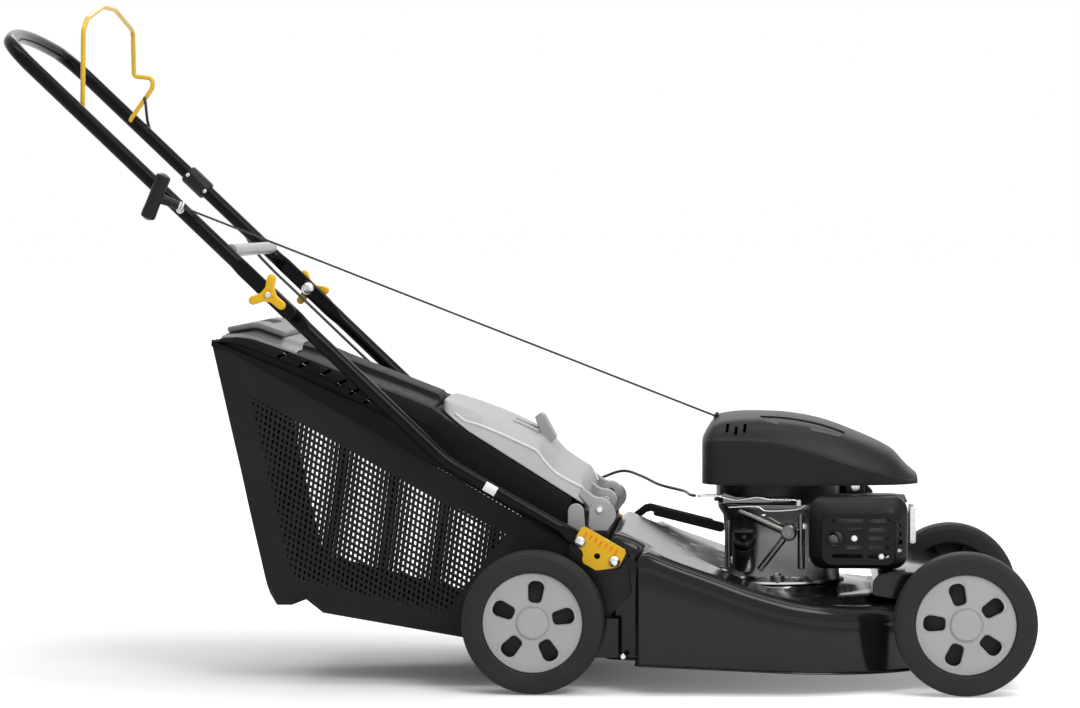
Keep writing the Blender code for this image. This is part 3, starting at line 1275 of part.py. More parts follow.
COWL_SECTIONS = [
    (-0.1085, 0.072, 0.340, 0.347),
    (-0.1010, 0.090, 0.346, 0.361),
    (-0.0850, 0.101, 0.3475, 0.378),
    (-0.0100, 0.106, 0.3455, 0.3820),
    (0.0505, 0.106, 0.332, 0.3745),
    (0.0990, 0.104, 0.316, 0.3590),
    (0.1640, 0.092, 0.295, 0.3290),
    (0.1860, 0.078, 0.2895, 0.3060),
    (0.2010, 0.058, 0.2870, 0.2930),
]


def cowl_ring(x, half, shoulder, top, wall):
    """One arched section of the cowl, from its right lower edge over the top to its left."""
    half, shoulder, top = half - wall, shoulder - wall, top - wall
    low = COWL_Z
    rise = top - shoulder
    side = [(1.0, low), (1.0, shoulder - 0.2 * (shoulder - low)), (0.97, shoulder), (0.88, shoulder + 0.40 * rise),
            (0.70, shoulder + 0.80 * rise), (0.40, shoulder + 0.97 * rise)]
    right = [(BLADE_X + x, -half * share, z) for share, z in side]
    left = [(BLADE_X + x, half * share, z) for share, z in reversed(side)]
    return right + [(BLADE_X + x, 0, top)] + left


def make_engine_cowl():
    """The big cowl: an arched shell with louvres, the rope's bush, the cap's well and the pulley's post."""
    outer = [cowl_ring(*section, 0) for section in COWL_SECTIONS]
    cowl = loft("engine_cowl", outer)
    rear_x, *rear_sizes = COWL_SECTIONS[0]
    inner_sections = [(rear_x + COWL_WALL, *rear_sizes), *COWL_SECTIONS[1:-1]]
    inner = [[(x, y, z if z > COWL_Z else z - 0.01) for x, y, z in cowl_ring(*section, COWL_WALL)]
             for section in inner_sections]
    cowl = cut(cowl, loft("hollow", inner))
    bush_way = (ROPE_ENTRY - GUIDE_POINT).normalized()
    cowl = cut(cowl, rod("bush", ROPE_ENTRY - bush_way * 0.02, ROPE_ENTRY + bush_way * 0.03, 0.0045, 12))
    cowl = cut(cowl, rod("well", (*CAP_AT[:2], CAP_AT[2] - 0.030), (*CAP_AT[:2], CAP_AT[2] + 0.05), CAP_R + 0.003, 14))
    for k in range(3):
        x = BLADE_X - 0.040 + 0.010 * k
        cowl = cut(cowl, box("louvre", (x, -0.0905, 0.335), (x + 0.005, -0.0775, 0.400)))
    post = rod("post", (BLADE_X, 0, PULLEY_Z - 0.012), (BLADE_X, 0, 0.3800), 0.006, 10)
    foot = rod("foot", (BLADE_X, 0, PULLEY_Z - 0.0135), (BLADE_X, 0, PULLEY_Z - 0.0115), 0.010, 10)
    return finish(joined(cowl, joined(post, foot)), SATIN_BLACK)


CAP_R = 0.0215
CAP_AT = Vector((BLADE_X + 0.082, 0.078, 0.3345))


def make_fuel():
    """The tank under the cowl's front, and its fluted cap in the well on the left."""
    low, high = (BLADE_X + 0.098, -0.060, COWL_Z), (BLADE_X + 0.160, 0.072, 0.3165)
    tank = bevelled(box("fuel_tank", low, high), 0.006)
    step = box("step", (BLADE_X + 0.066, 0.060, COWL_Z + 0.003), (BLADE_X + 0.120, 0.094, 0.306))
    neck = rod("neck", (*CAP_AT[:2], 0.296), (*CAP_AT[:2], CAP_AT[2] - GAP), 0.0145, 10)
    finish(joined(tank, bevelled(step, 0.004), neck), SATIN_BLACK)
    cap = fluted("fuel_cap", CAP_AT, (0, 0, 1), CAP_R, 0.012, 8)
    return finish(cap, SATIN_BLACK, CAP_AT)


BRAKE_AT = Vector((BLADE_X - FLYWHEEL_R - 0.002, -0.066, 0.2610))


def make_brake_lever():
    """The engine brake's lever, on a post beside the housing, with the eye for the cable."""
    x, y, z = BRAKE_AT
    outline = capsule((x, y), (x - 0.030, y - 0.004), 0.009, 0.006)
    lever = plate("brake_lever", outline, 0.003, level(z + 0.0035), [hole(x, y, 0.003 + GAP)])
    return finish(lever, STEEL, BRAKE_AT)


def make_governor_links():
    """The throttle wire and governor spring beside the case's top, on their small bracket."""
    y = -0.0945
    x = BLADE_X
    z = 0.2500
    wire = bent([((x - 0.070, y, z), 0), ((x - 0.030, y, z + 0.001), 0.004), ((x - 0.016, y, z - 0.006), 0.004),
                 ((x + 0.026, y, z - 0.004), 0.004), ((x + 0.040, y, z + 0.003), 0)], 2)
    links = cord("governor_links", wire, 0.0014, 0)
    for place in (-0.066, 0.034):
        start = (x + place, y - 0.001, z if place < 0 else z + 0.0022)
        links = joined(links, rod("post", start, (x + place, -0.086 - GAP, start[2]), 0.0035, 6))
    return finish(links, STEEL)


def make_crankshaft():
    """The upright shaft, stepped for the flywheel, with the bolt's bore in its lower end."""
    low, high = 0.056, PULLEY_Z - 0.020
    profile = [(0.0, high), (0.007, high), (0.007, FLYWHEEL_Z + 0.018), (SHAFT_R - 0.003, FLYWHEEL_Z + 0.014),
               (SHAFT_R, FLYWHEEL_Z - 0.006), (SHAFT_R, low), (0.0053, low), (0.0053, low + 0.024), (0.0, low + 0.027)]
    return finish(turned("crankshaft", profile, (BLADE_X, 0, 0), (0, 0, 1), 14), STEEL, (BLADE_X, 0, FLYWHEEL_Z))


def make_flywheel():
    """The flywheel with its curved fan blades and the starter's cup."""
    inner = SHAFT_R - 0.003 + GAP * 2
    z0 = FLYWHEEL_Z
    profile = [(inner, z0 + 0.012), (0.020, z0 + 0.012), (0.024, z0 + 0.010), (FLYWHEEL_R, z0 + 0.008),
               (FLYWHEEL_R, z0 - 0.004), (FLYWHEEL_R - 0.012, z0 - 0.004), (FLYWHEEL_R - 0.014, z0 + 0.002),
               (SHAFT_R + 0.004, z0 + 0.002), (SHAFT_R + 0.0035, z0 - 0.004), (inner + 0.003, z0 - 0.004)]
    wheel = turned("flywheel", profile, (BLADE_X, 0, 0), (0, 0, 1), 16, closed=True)
    count = 7
    outline = []
    for k in range(count):
        lead = math.tau * k / count
        for radius, twist in ((0.044, 0.0), (0.074, 0.26), (0.073, 0.31), (0.044, 0.07)):
            outline.append((BLADE_X + radius * math.cos(lead + twist), radius * math.sin(lead + twist)))
    fan = plate("fan", outline, 0.020, level(z0 + 0.017), [ring(BLADE_X, 0, 0.040, 16)])
    return finish(joined(wheel, fan), ALUMINIUM, (BLADE_X, 0, FLYWHEEL_Z))


def make_starter_pulley():
    """The recoil pulley on its post, with the rope's groove."""
    inner = 0.006 + GAP * 2
    half = 0.0065
    profile = [(inner, half), (PULLEY_R + 0.007, half), (PULLEY_R + 0.007, half - 0.002), (PULLEY_R, 0.0022), (PULLEY_R, -0.0022),
               (PULLEY_R + 0.007, 0.002 - half), (PULLEY_R + 0.007, -half), (inner, -half)]
    at = (BLADE_X, 0, PULLEY_Z)
    return finish(turned("starter_pulley", profile, at, (0, 0, 1), 12, closed=True), SATIN_BLACK, at)


def make_cutter():
    """The blade, its adapter on the shaft and the bolt that holds both."""
    z_top = BLADE_Z + BLADE_T / 2
    reach = CUT / 2 - 0.002
    half_chord = 0.0275
    outline = rounded([(BLADE_X - reach, -half_chord + 0.012, 0.004), (BLADE_X - reach * 0.6, -half_chord, 0.02),
                       (BLADE_X + reach * 0.6, -half_chord, 0.02), (BLADE_X + reach, -half_chord, 0.006),
                       (BLADE_X + reach, half_chord - 0.012, 0.004), (BLADE_X + reach * 0.6, half_chord, 0.02),
                       (BLADE_X - reach * 0.6, half_chord, 0.02), (BLADE_X - reach, half_chord, 0.006)])
    blade = plate("blade", outline, BLADE_T, level(BLADE_Z), [ring(BLADE_X, 0, 0.0053, 12)])
    for side in (-1, 1):
        x0, x1 = BLADE_X + side * reach * 0.72, BLADE_X + side * reach * 0.985
        y0, y1 = side * half_chord * 0.42, side * half_chord * 0.96
        low = [(x0, y0, BLADE_Z), (x1, y0, BLADE_Z), (x1, y1, BLADE_Z), (x0, y1, BLADE_Z)]
        high = [(x0, y0, z_top + 0.0006), (x1, y0, z_top + 0.0006), (x1, y1, z_top + 0.012), (x0, y1, z_top + 0.008)]
        blade = joined(blade, loft("wing", [low, high]))
    finish(blade, STEEL, (BLADE_X, 0, BLADE_Z))
    seat = z_top + GAP
    top = 0.094
    inner = SHAFT_R + GAP * 2
    profile = [(inner, top), (0.019, top), (0.019, seat + 0.010), (0.030, seat + 0.006), (0.030, seat), (0.0056, seat),
               (0.0056, 0.056 - GAP), (inner, 0.056 - GAP)]
    adapter = turned("blade_adapter", profile, (BLADE_X, 0, 0), (0, 0, 1), 14, closed=True)
    finish(adapter, STEEL, (BLADE_X, 0, seat))
    low = BLADE_Z - BLADE_T / 2 - GAP
    bolt = [(0.0, low - 0.008), (0.0105, low - 0.008), (0.0105, low - 0.002), (0.016, low - 0.0015), (0.016, low),
            (0.005, low), (0.005, 0.0785), (0.0, 0.0785)]
    finish(turned("blade_bolt", bolt, (BLADE_X, 0, 0), (0, 0, 1), 10), STEEL, (BLADE_X, 0, low))


# Rope and cable

def make_rope():
    """The starter rope from the grip's neck through the guide to the pulley's groove."""
    groove_y = -(PULLEY_R + ROPE_R + GAP)
    inside = ROPE_ENTRY - ROPE_WAY * 0.030
    points = [GUIDE_POINT + ROPE_WAY * (NECK_START - GAP), *[GUIDE_POINT.lerp(ROPE_ENTRY, k / 8) for k in range(1, 9)]]
    points += [inside, (BLADE_X - 0.030, groove_y, PULLEY_Z + 0.006), (BLADE_X - 0.012, groove_y, PULLEY_Z), (BLADE_X, groove_y, PULLEY_Z)]
    return finish(cord("starter_rope", [Vector(p) for p in points], ROPE_R, 1), FABRIC_BLACK)


def make_stop_cable():
    """The stop cable from the bail's crank along the left tube to the brake lever."""
    lane = BAIL_Y - 0.004
    low = -(TUBE_R + 0.0042)
    ax = REAR_AXLE_X
    end = Vector((BRAKE_AT.x - 0.037 - CABLE_R, BRAKE_AT.y - 0.004, BRAKE_AT.z + 0.0035))
    route = [
        BAIL_POINT + Vector((0.023, BAIL_Y - BAIL_R - CABLE_R - 0.0004, 0.034)),
        on_handle(0.330, lane - 0.001, 0.006),
        on_handle(0.246, lane - 0.007, -0.004),
        on_handle(0.150, lane, low),
        on_handle(0.0, lane, low),
        on_handle(-0.150, lane, low),
        on_handle(-0.270, lane, low + 0.002),
        (ax - 0.085, lane, 0.289),
        (ax - 0.015, lane, 0.264),
        (ax + 0.055, lane, 0.2660),
        (ax + 0.104, lane - 0.002, 0.2815),
        (ax + 0.135, lane - 0.035, 0.2770),
        (ax + 0.1650, 0.080, 0.2680),
        (ax + 0.2020, 0.020, 0.2640),
        (end.x - 0.008, end.y + 0.022, end.z),
        end,
    ]
    return finish(cord("stop_cable", smooth_route(route, 0.055), CABLE_R, 1), FABRIC_BLACK)


make_deck()
make_rear_chute()
make_hinge_rod()
make_brackets()
make_bracket_plates()
make_lower_tubes()
make_upper_handle()
make_knob_bolts()
make_knobs()
make_bail()
make_rope_guide()
make_starter_grip()
make_cable_clamp()
make_flap()
make_catcher()
make_catcher_handle()
make_wheels()
make_axles()
make_link_rod()
make_height_lever()
make_height_rack()
make_front_cover()
make_crankcase()
make_dipstick()
make_cylinder_head()
make_valve_cover()
make_spark_plug()
make_intake()
make_muffler()
make_blower_housing()
make_engine_cowl()
make_fuel()
make_brake_lever()
make_governor_links()
make_crankshaft()
make_flywheel()
make_starter_pulley()
make_cutter()
make_rope()
make_stop_cable()
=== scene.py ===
# %% [markdown]
# # Dressing a petrol lawn mower
# The machine's engineering model gives every solid its place and its joint. This lesson dresses it for a
# photograph: fine meshes over the plain solids, procedural finishes, a camera and soft studio light. We
# load the model first. Nothing we add may make the machine larger.

# %% Load the frame
import json
from math import atan2, ceil, copysign, cos, hypot, pi, radians, sin, sqrt, tan, tau

import bmesh
import bpy
from mathutils import Matrix, Vector


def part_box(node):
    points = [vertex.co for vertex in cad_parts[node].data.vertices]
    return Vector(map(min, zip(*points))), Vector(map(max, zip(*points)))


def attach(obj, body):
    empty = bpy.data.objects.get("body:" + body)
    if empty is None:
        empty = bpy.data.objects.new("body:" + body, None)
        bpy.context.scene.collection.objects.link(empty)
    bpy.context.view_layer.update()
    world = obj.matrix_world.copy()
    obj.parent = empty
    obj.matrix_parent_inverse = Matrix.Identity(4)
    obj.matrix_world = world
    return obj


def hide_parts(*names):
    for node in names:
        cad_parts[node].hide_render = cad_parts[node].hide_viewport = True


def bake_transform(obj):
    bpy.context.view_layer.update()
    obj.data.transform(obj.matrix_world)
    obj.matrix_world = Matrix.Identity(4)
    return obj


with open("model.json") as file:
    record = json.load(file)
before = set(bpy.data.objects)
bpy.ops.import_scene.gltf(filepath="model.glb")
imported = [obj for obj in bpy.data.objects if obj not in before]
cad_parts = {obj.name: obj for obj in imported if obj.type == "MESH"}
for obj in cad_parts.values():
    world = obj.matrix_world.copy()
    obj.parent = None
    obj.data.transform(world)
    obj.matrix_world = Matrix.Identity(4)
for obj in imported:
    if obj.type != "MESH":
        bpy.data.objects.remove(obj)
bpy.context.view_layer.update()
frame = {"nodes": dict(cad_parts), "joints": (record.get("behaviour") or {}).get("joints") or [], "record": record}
record = frame["record"]
BODY_OF = {node: body for body, nodes in record["behaviour"]["bodies"].items() for node in nodes}
PIVOT = {joint["name"]: Vector(joint["pos_m"]) for joint in frame["joints"] if "pos_m" in joint}

# %% [markdown]
# Every place in this lesson is measured from a joint of the real machine: the axles, the crankshaft, the
# bolt that the handle folds on and the bail's pins. If the model moves, the dressing moves with it.

# %% Places to measure from
REAR = PIVOT["wheel_rear_right_roll"].x
FRONT = PIVOT["wheel_front_right_roll"].x
BLADE = PIVOT["crankshaft_turn"].x
FOLD = PIVOT["handle_fold"]
BAIL = PIVOT["bail_pull"]
HINGE = PIVOT["flap_lift"]
SLOPE = radians(43.6)
UP = Vector((-cos(SLOPE), 0, sin(SLOPE)))
FRONTWARD = Vector((sin(SLOPE), 0, cos(SLOPE)))
low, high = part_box("lower_tube_right")
HANDLE_Y = -(low.y + high.y) / 2
TUBE_R = 0.0103
SIDES = ((-1, "right"), (1, "left"))
print("rear axle", round(REAR, 4), "front axle", round(FRONT, 4), "blade", round(BLADE, 4))

# %% [markdown]
# ## The camera
# The photograph was taken from the right side with a long lens, a little above the engine. The numbers come
# from matching the wheels, tubes and cowl to the picture, so the lens, the tilt and the turn belong
# together.

# %% Camera
camera_data = bpy.data.cameras.new("camera")
camera_data.lens = 109.8
camera_data.sensor_width = 36.0
camera_data.shift_x = -0.1
camera = bpy.data.objects.new("camera", camera_data)
camera.location = (REAR + 0.3516, -4.7915, 0.6701)
camera.rotation_euler = (radians(90 - 2.446), 0, radians(2.395))
bpy.context.scene.collection.objects.link(camera)
bpy.context.scene.camera = camera
bpy.context.scene.view_settings.view_transform = "Standard"
print("camera at", [round(c, 3) for c in camera.location])

# %% [markdown]
# ## Node helpers
# The world, the floor and the finishes are node trees. A few short functions build them: they make a node,
# set its plain values by name and link the sockets that come in.

# %% Node helpers
def feed(node, values):
    """Fill a node's inputs by name or number: sockets are linked and plain values are set."""
    for label, value in values.items():
        if isinstance(value, bpy.types.NodeSocket):
            node.id_data.links.new(value, node.inputs[label])
        else:
            node.inputs[label].default_value = value
    return node


def make(tree, kind, values=None, **settings):
    """A shader node with its settings and its inputs."""
    node = tree.nodes.new("ShaderNode" + kind)
    for label, value in settings.items():
        setattr(node, label, value)
    return feed(node, values or {})


def local(tree):
    """Places in the machine's own frame."""
    return make(tree, "TexCoord").outputs["Object"]


def operate(tree, kind, a, b=None, clamp=False):
    """A math node whose inputs are sockets or plain numbers."""
    values = {0: a} if b is None else {0: a, 1: b}
    return make(tree, "Math", values, operation=kind, use_clamp=clamp).outputs[0]


def spread(tree, value, lo, hi, to_lo=0.0, to_hi=1.0):
    """Map a value from one range to another, clamped at both ends."""
    values = {"From Min": lo, "From Max": hi, "To Min": to_lo, "To Max": to_hi, "Value": value}
    return make(tree, "MapRange", values).outputs["Result"]


def noise(tree, vector, scale, detail, roughness=0.5):
    """The value of a noise texture."""
    values = {"Detail": detail, "Roughness": roughness, "Scale": scale, "Vector": vector}
    return make(tree, "TexNoise", values).outputs[0]


def mixed(tree, share, one, two):
    """A mix of two colours."""
    return make(tree, "Mix", {"Factor": share, "A": one, "B": two}, data_type="RGBA").outputs["Result"]


def seen(tree, path):
    """1 for rays from the camera and for what the gloss mirrors."""
    return operate(tree, "MAXIMUM", path["Is Camera Ray"], path["Is Glossy Ray"])


print("node helpers ready")

# %% [markdown]
# ## Light
# Black gloss shows only what it mirrors, so the light is mostly large pale surfaces: the world is a plain
# white room for the camera, for reflections and for clear parts, and dimmer for the light that it throws.
# Three soft lamps add form. The floor is pale and keeps the machine's shadow. For the camera and the gloss
# it also glows, least round a spot under the machine's rear: a painted shadow over the real one there.

# %% World, lamps and floor
WHITE = (1, 1, 1, 1)
ROOM_LIGHT = 0.52
world = bpy.data.worlds.new("studio")
bpy.context.scene.world = world
world.use_nodes = True
tree = world.node_tree
path = make(tree, "LightPath").outputs
white_room = operate(tree, "MAXIMUM", seen(tree, path), path["Is Transmission Ray"])
strength = spread(tree, white_room, 0.0, 1.0, ROOM_LIGHT, 1.0)
feed(tree.nodes["Background"], {"Color": WHITE, "Strength": strength})


def lamp(name, place, target, size, power):
    """A soft rectangular lamp that looks at a point."""
    data = bpy.data.lights.new(name, "AREA")
    data.shape = "RECTANGLE"
    data.size, data.size_y = size
    data.energy = power
    obj = bpy.data.objects.new(name, data)
    obj.location = place
    obj.rotation_euler = (Vector(target) - Vector(place)).to_track_quat("-Z", "Y").to_euler()
    bpy.context.scene.collection.objects.link(obj)


lamp("key", (1.7, -2.3, 2.7), (0.1, 0, 0.2), (1.6, 1.6), 58)
lamp("overhead", (0.0, -0.35, 2.6), (0.0, -0.05, 0.2), (3.2, 0.7), 26)
lamp("rim", (0.1, 2.3, 2.3), (0.1, 0, 0.4), (2.8, 1.0), 22)

floor_mesh = bpy.data.meshes.new("floor")
floor_mesh.from_pydata([(-30, -12, 0), (30, -12, 0), (30, 40, 0), (-30, 40, 0)], [], [(0, 1, 2, 3)])
floor = bpy.data.objects.new("floor", floor_mesh)
bpy.context.scene.collection.objects.link(floor)
floor.location.z = -0.0006
pale = bpy.data.materials.new("pale_floor")
pale.use_nodes = True
tree = pale.node_tree
# The floor's glow is weak round a spot under the machine's rear and grows further off. This is a painted shadow
# that darkens the floor near the machine beyond its real shadow.
painted_shadow_centre = {"Vector": local(tree), "Location": (0.28, -0.05, 0), "Scale": (0.8, 1.1, 1.0)}
spot = make(tree, "Mapping", painted_shadow_centre).outputs[0]
reach = make(tree, "VectorMath", {0: spot}, operation="LENGTH").outputs["Value"]
painted_shadow_falloff = spread(tree, reach, 0.3, 1.2, 0.02, 0.6)
glow = operate(tree, "MULTIPLY", painted_shadow_falloff, seen(tree, make(tree, "LightPath").outputs))
feed(tree.nodes["Principled BSDF"], {
    "Base Color": (0.93, 0.93, 0.93, 1), "Roughness": 0.75, "Specular IOR Level": 0.1,
    "Emission Color": WHITE, "Emission Strength": glow,
})
floor_mesh.materials.append(pale)
print("lamps and floor made")

# %% [markdown]
# ## Effects shared by the finishes
# A moulded part, a casting and a coat of paint differ in the size and depth of their skin. Each effect is a
# node group with named sockets, built once, and each material places it with its own values. A group gives
# only heights, masks and tones, and the shader itself stays in the material.

# %% Skin: fine grain for mouldings, castings and paint
def node_group(name, inputs, outputs):
    """A node group with named sockets: its tree, what comes in, and its end node."""
    tree = bpy.data.node_groups.new(name, "ShaderNodeTree")
    for label, value in inputs.items():
        tree.interface.new_socket(label, in_out="INPUT", socket_type="NodeSocketFloat").default_value = value
    for label in outputs:
        tree.interface.new_socket(label, in_out="OUTPUT", socket_type="NodeSocketFloat")
    return tree, tree.nodes.new("NodeGroupInput").outputs, tree.nodes.new("NodeGroupOutput")


skin, given, end_node = node_group("skin", {"Grain Scale": 900.0, "Pits": 0.3}, ["Height", "Tone"])
place = local(skin)
fine = noise(skin, place, given["Grain Scale"], 2.0)
cell_scale = operate(skin, "MULTIPLY", given["Grain Scale"], 0.6)
cells = make(skin, "TexVoronoi", {"Vector": place, "Scale": cell_scale}).outputs["Distance"]
height = operate(skin, "ADD", fine, operate(skin, "MULTIPLY", cells, given["Pits"]))
feed(end_node, {"Height": height, "Tone": spread(skin, noise(skin, place, 14.0, 4.0), 0.3, 0.7)})
print("skin ready")

# %% Dust: a pale film where a face looks up, broken by clouds
dust, given, end_node = node_group("dust", {"Amount": 0.3}, ["Dust"])
facing = make(dust, "SeparateXYZ", {0: make(dust, "NewGeometry").outputs["Normal"]}).outputs["Z"]
clouds = spread(dust, noise(dust, local(dust), 22.0, 5.0), 0.35, 0.75)
film = operate(dust, "MULTIPLY", spread(dust, facing, 0.1, 1.0), clouds)
feed(end_node, {"Dust": operate(dust, "MULTIPLY", film, given["Amount"], True)})
print("dust ready")

# %% Scuffs: long fine streaks for roughness
scuff, given, end_node = node_group("scuffs", {"Amount": 0.5}, ["Scuffs"])
stretch = make(scuff, "Mapping", {"Vector": local(scuff), "Scale": (30.0, 30.0, 260.0)}).outputs[0]
streaks = spread(scuff, noise(scuff, stretch, 1.0, 6.0, 0.65), 0.52, 0.7)
feed(end_node, {"Scuffs": operate(scuff, "MULTIPLY", streaks, given["Amount"])})
print("node groups", [group.name for group in bpy.data.node_groups])

# %% [markdown]
# ## The finishes
# One function makes a finish from its colour, its gloss and its skin. The tone wanders by a few percent,
# dust lightens the faces that look up, scuffs dull the gloss, and the grain is a bump so fine that it only
# breaks up the highlights.

# %% Finish maker
DUST_TINT = (0.36, 0.35, 0.33, 1)


def finish(name, colour, rough, grain, depth, dusty=0.06, specular=0.5, tone=0.1, metal=0.0, pits=0.3,
           scuffed=0.06):
    """A finish from its colour or grey, its roughness, and the scale and depth in metres of its grain."""
    colour = (colour,) * 3 if isinstance(colour, float) else colour
    material = bpy.data.materials.new(name)
    material.use_nodes = True
    tree = material.node_tree
    surface = make(tree, "Group", {"Grain Scale": grain, "Pits": pits}, node_tree=skin).outputs
    film = make(tree, "Group", {"Amount": dusty}, node_tree=dust).outputs["Dust"]
    worn = make(tree, "Group", {"Amount": scuffed}, node_tree=scuff).outputs["Scuffs"]
    dark, light = [(*(min(1.0, c * k) for c in colour), 1) for k in (1 - tone, 1 + tone)]
    toned = mixed(tree, surface["Tone"], dark, light)
    bump = make(tree, "Bump", {"Strength": 1.0, "Distance": depth, "Height": surface["Height"]})
    feed(tree.nodes["Principled BSDF"], {
        "Base Color": mixed(tree, film, toned, DUST_TINT),
        "Roughness": operate(tree, "ADD", operate(tree, "ADD", worn, rough), film, True),
        "Normal": bump.outputs["Normal"], "Metallic": metal, "Specular IOR Level": specular,
    })
    return material


print("finish maker ready")

# %% The finishes of this machine
DECK_PAINT = finish("deck_paint", (0.008, 0.008, 0.0081), 0.13, 260, 0.00003, 0.01, 0.22, scuffed=0.03)
TUBE_PAINT = finish("tube_paint", (0.0035, 0.0035, 0.0036), 0.16, 300, 0.00001, 0.0, 0.09)
BRACKET_PAINT = finish("bracket_paint", 0.008, 0.3, 600, 0.00004, 0.02, 0.2)
COWL_PLASTIC = finish("cowl_plastic", (0.0105, 0.0103, 0.01), 0.4, 1500, 0.00003, 0.02, 0.16)
SATIN_PLASTIC = finish("satin_plastic", 0.0085, 0.4, 1400, 0.00003, 0.02, 0.18)
GLOSS_PLASTIC = finish("gloss_plastic", 0.006, 0.12, 500, 0.00002, 0.01, 0.25)
GREY_PLASTIC = finish("grey_plastic", (0.33, 0.33, 0.336), 0.46, 1600, 0.00003, 0.02, tone=0.03)
# A pale grey for the bead along each ridge of the flap: a painted highlight for the line of light on that edge.
RIDGE_HIGHLIGHT_GREY = finish("ridge_painted_highlight", (0.62, 0.62, 0.63), 0.3, 1600, 0.00001, 0.0, tone=0.02)
# The hubs' pale grey. It is also given to the crossbar, where it is a painted highlight for a black tube's
# reflection.
HUB_GREY_AND_BAR_HIGHLIGHT = finish("hub_grey_and_bar_highlight", (0.345, 0.345, 0.355), 0.38, 1600, 0.00002, 0.02, tone=0.03)
LID_BLACK = finish("lid_black", 0.0075, 0.52, 1400, 0.00004, 0.0, 0.07)
LID_GREY = finish("lid_grey", (0.17, 0.168, 0.165), 0.46, 1200, 0.00003, tone=0.06)
YELLOW_PLASTIC = finish("yellow_plastic", (0.72, 0.42, 0.005), 0.36, 1200, 0.00002, 0.0, 0.3, 0.05)
ORANGE_PLASTIC = finish("orange_plastic", (0.8, 0.2, 0.004), 0.4, 1200, 0.00002, 0.0, 0.3, 0.05)
YELLOW_PAINT = finish("yellow_paint", (0.7, 0.42, 0.014), 0.26, 400, 0.000002, 0.0, 0.4, 0.02)
TYRE_RUBBER = finish("tyre_rubber", (0.018, 0.0176, 0.0172), 0.62, 900, 0.00006, 0.03, 0.2, 0.14, scuffed=0.1)
CAST_ALLOY = finish("cast_alloy", (0.15, 0.147, 0.143), 0.3, 420, 0.00016, 0.05, tone=0.16, metal=1.0,
                    pits=0.6)
BRIGHT_ALLOY = finish("bright_alloy", 0.72, 0.2, 700, 0.00004, tone=0.06, metal=1.0)
ZINC = finish("zinc_steel", (0.62, 0.62, 0.61), 0.26, 900, 0.00003, metal=1.0, scuffed=0.12)
DARK_STEEL = finish("dark_steel", 0.12, 0.36, 700, 0.00004, tone=0.12, metal=1.0)
BLADE_STEEL = finish("blade_steel", 0.3, 0.34, 500, 0.00005, tone=0.14, metal=1.0, scuffed=0.2)
WHITE_TAG = finish("white_tag", 0.78, 0.5, 1500, 0.00001, 0.0, tone=0.02)
HEAT_GREY = finish("heat_grey", (0.006, 0.006, 0.0063), 0.36, 700, 0.00005, 0.02, 0.15)
CORD_FIBRE = finish("cord_fibre", 0.03, 0.75, 2600, 0.0002, 0.0, tone=0.25, pits=0.9)
CABLE_JACKET = finish("cable_jacket", 0.014, 0.38, 1200, 0.00003)
print("finishes", len(bpy.data.materials))

# %% [markdown]
# ## Making pieces
# Each new piece is a mesh in the machine's own frame. It rides on the body that carries it and stands for a
# solid. Small bevels along the edges matter more than anything else here, because a real edge always
# catches a thin line of light.

# %% Piece helpers
def settle(obj, material, node=None, angle=35, edge=None, body=None, slot=None, smooth=True):
    """Shade and colour a piece, let it ride and hide the node that it stands for. Edge is its bevel."""
    if smooth:
        obj.data.shade_smooth()
        obj.data.set_sharp_from_angle(angle=radians(angle))
    obj.data.materials.clear()
    obj.data.materials.append(material)
    if node:
        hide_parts(node)
    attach(obj, body or BODY_OF[node])
    return bevel(obj, *edge) if edge else obj


def from_shape(name, shape):
    """An object from a bmesh, with its faces turned outward."""
    bmesh.ops.remove_doubles(shape, verts=shape.verts, dist=1e-6)
    bmesh.ops.recalc_face_normals(shape, faces=shape.faces)
    mesh = bpy.data.meshes.new(name)
    shape.to_mesh(mesh)
    shape.free()
    obj = bpy.data.objects.new(name, mesh)
    bpy.context.scene.collection.objects.link(obj)
    return obj


def skinned(name, rings, closed=True, around=False):
    """A skin over rings of equal length, with caps at both ends unless it runs around or stays open."""
    shape = bmesh.new()
    loops = [[shape.verts.new(point) for point in ring] for ring in rings]
    count = len(loops[0])
    for a, b in zip(loops, loops[1:] + loops[:1] if around else loops[1:]):
        for k in range(count if closed else count - 1):
            shape.faces.new((a[k], a[(k + 1) % count], b[(k + 1) % count], b[k]))
    if closed and not around:
        shape.faces.new(loops[0])
        shape.faces.new(loops[-1])
    return from_shape(name, shape)


def frame_of(axis):
    """Two directions square to an axis."""
    axis = Vector(axis).normalized()
    side = axis.orthogonal().normalized()
    return side, axis.cross(side).normalized()


def turned(name, profile, at, axis, steps=64, around=False):
    """A profile of (radius, along) turned round an axis."""
    axis = Vector(axis).normalized()
    a, b = (Vector((1, 0, 0)), Vector((0, 0, 1))) if abs(axis.y) > 0.9 else frame_of(axis)
    shape = bmesh.new()
    turns = [tau * k / steps for k in range(steps)]
    loops = []
    for radius, along in profile:
        centre = Vector(at) + axis * along
        if radius < 1e-6:
            loops.append([shape.verts.new(centre)])
        else:
            loops.append([shape.verts.new(centre + (a * cos(t) + b * sin(t)) * radius) for t in turns])
    for one, two in zip(loops, loops[1:] + loops[:1] if around else loops[1:]):
        for k in range(steps):
            j = (k + 1) % steps
            corners = dict.fromkeys((one[k % len(one)], one[j % len(one)], two[j % len(two)],
                                     two[k % len(two)]))
            if len(corners) > 2:
                shape.faces.new(list(corners))
    return from_shape(name, shape)


def lathe(name, profile, at, axis, steps, *looks, around=False, **more):
    """A turned piece that settles at once."""
    return settle(turned(name, profile, at, axis, steps, around), *looks, **more)


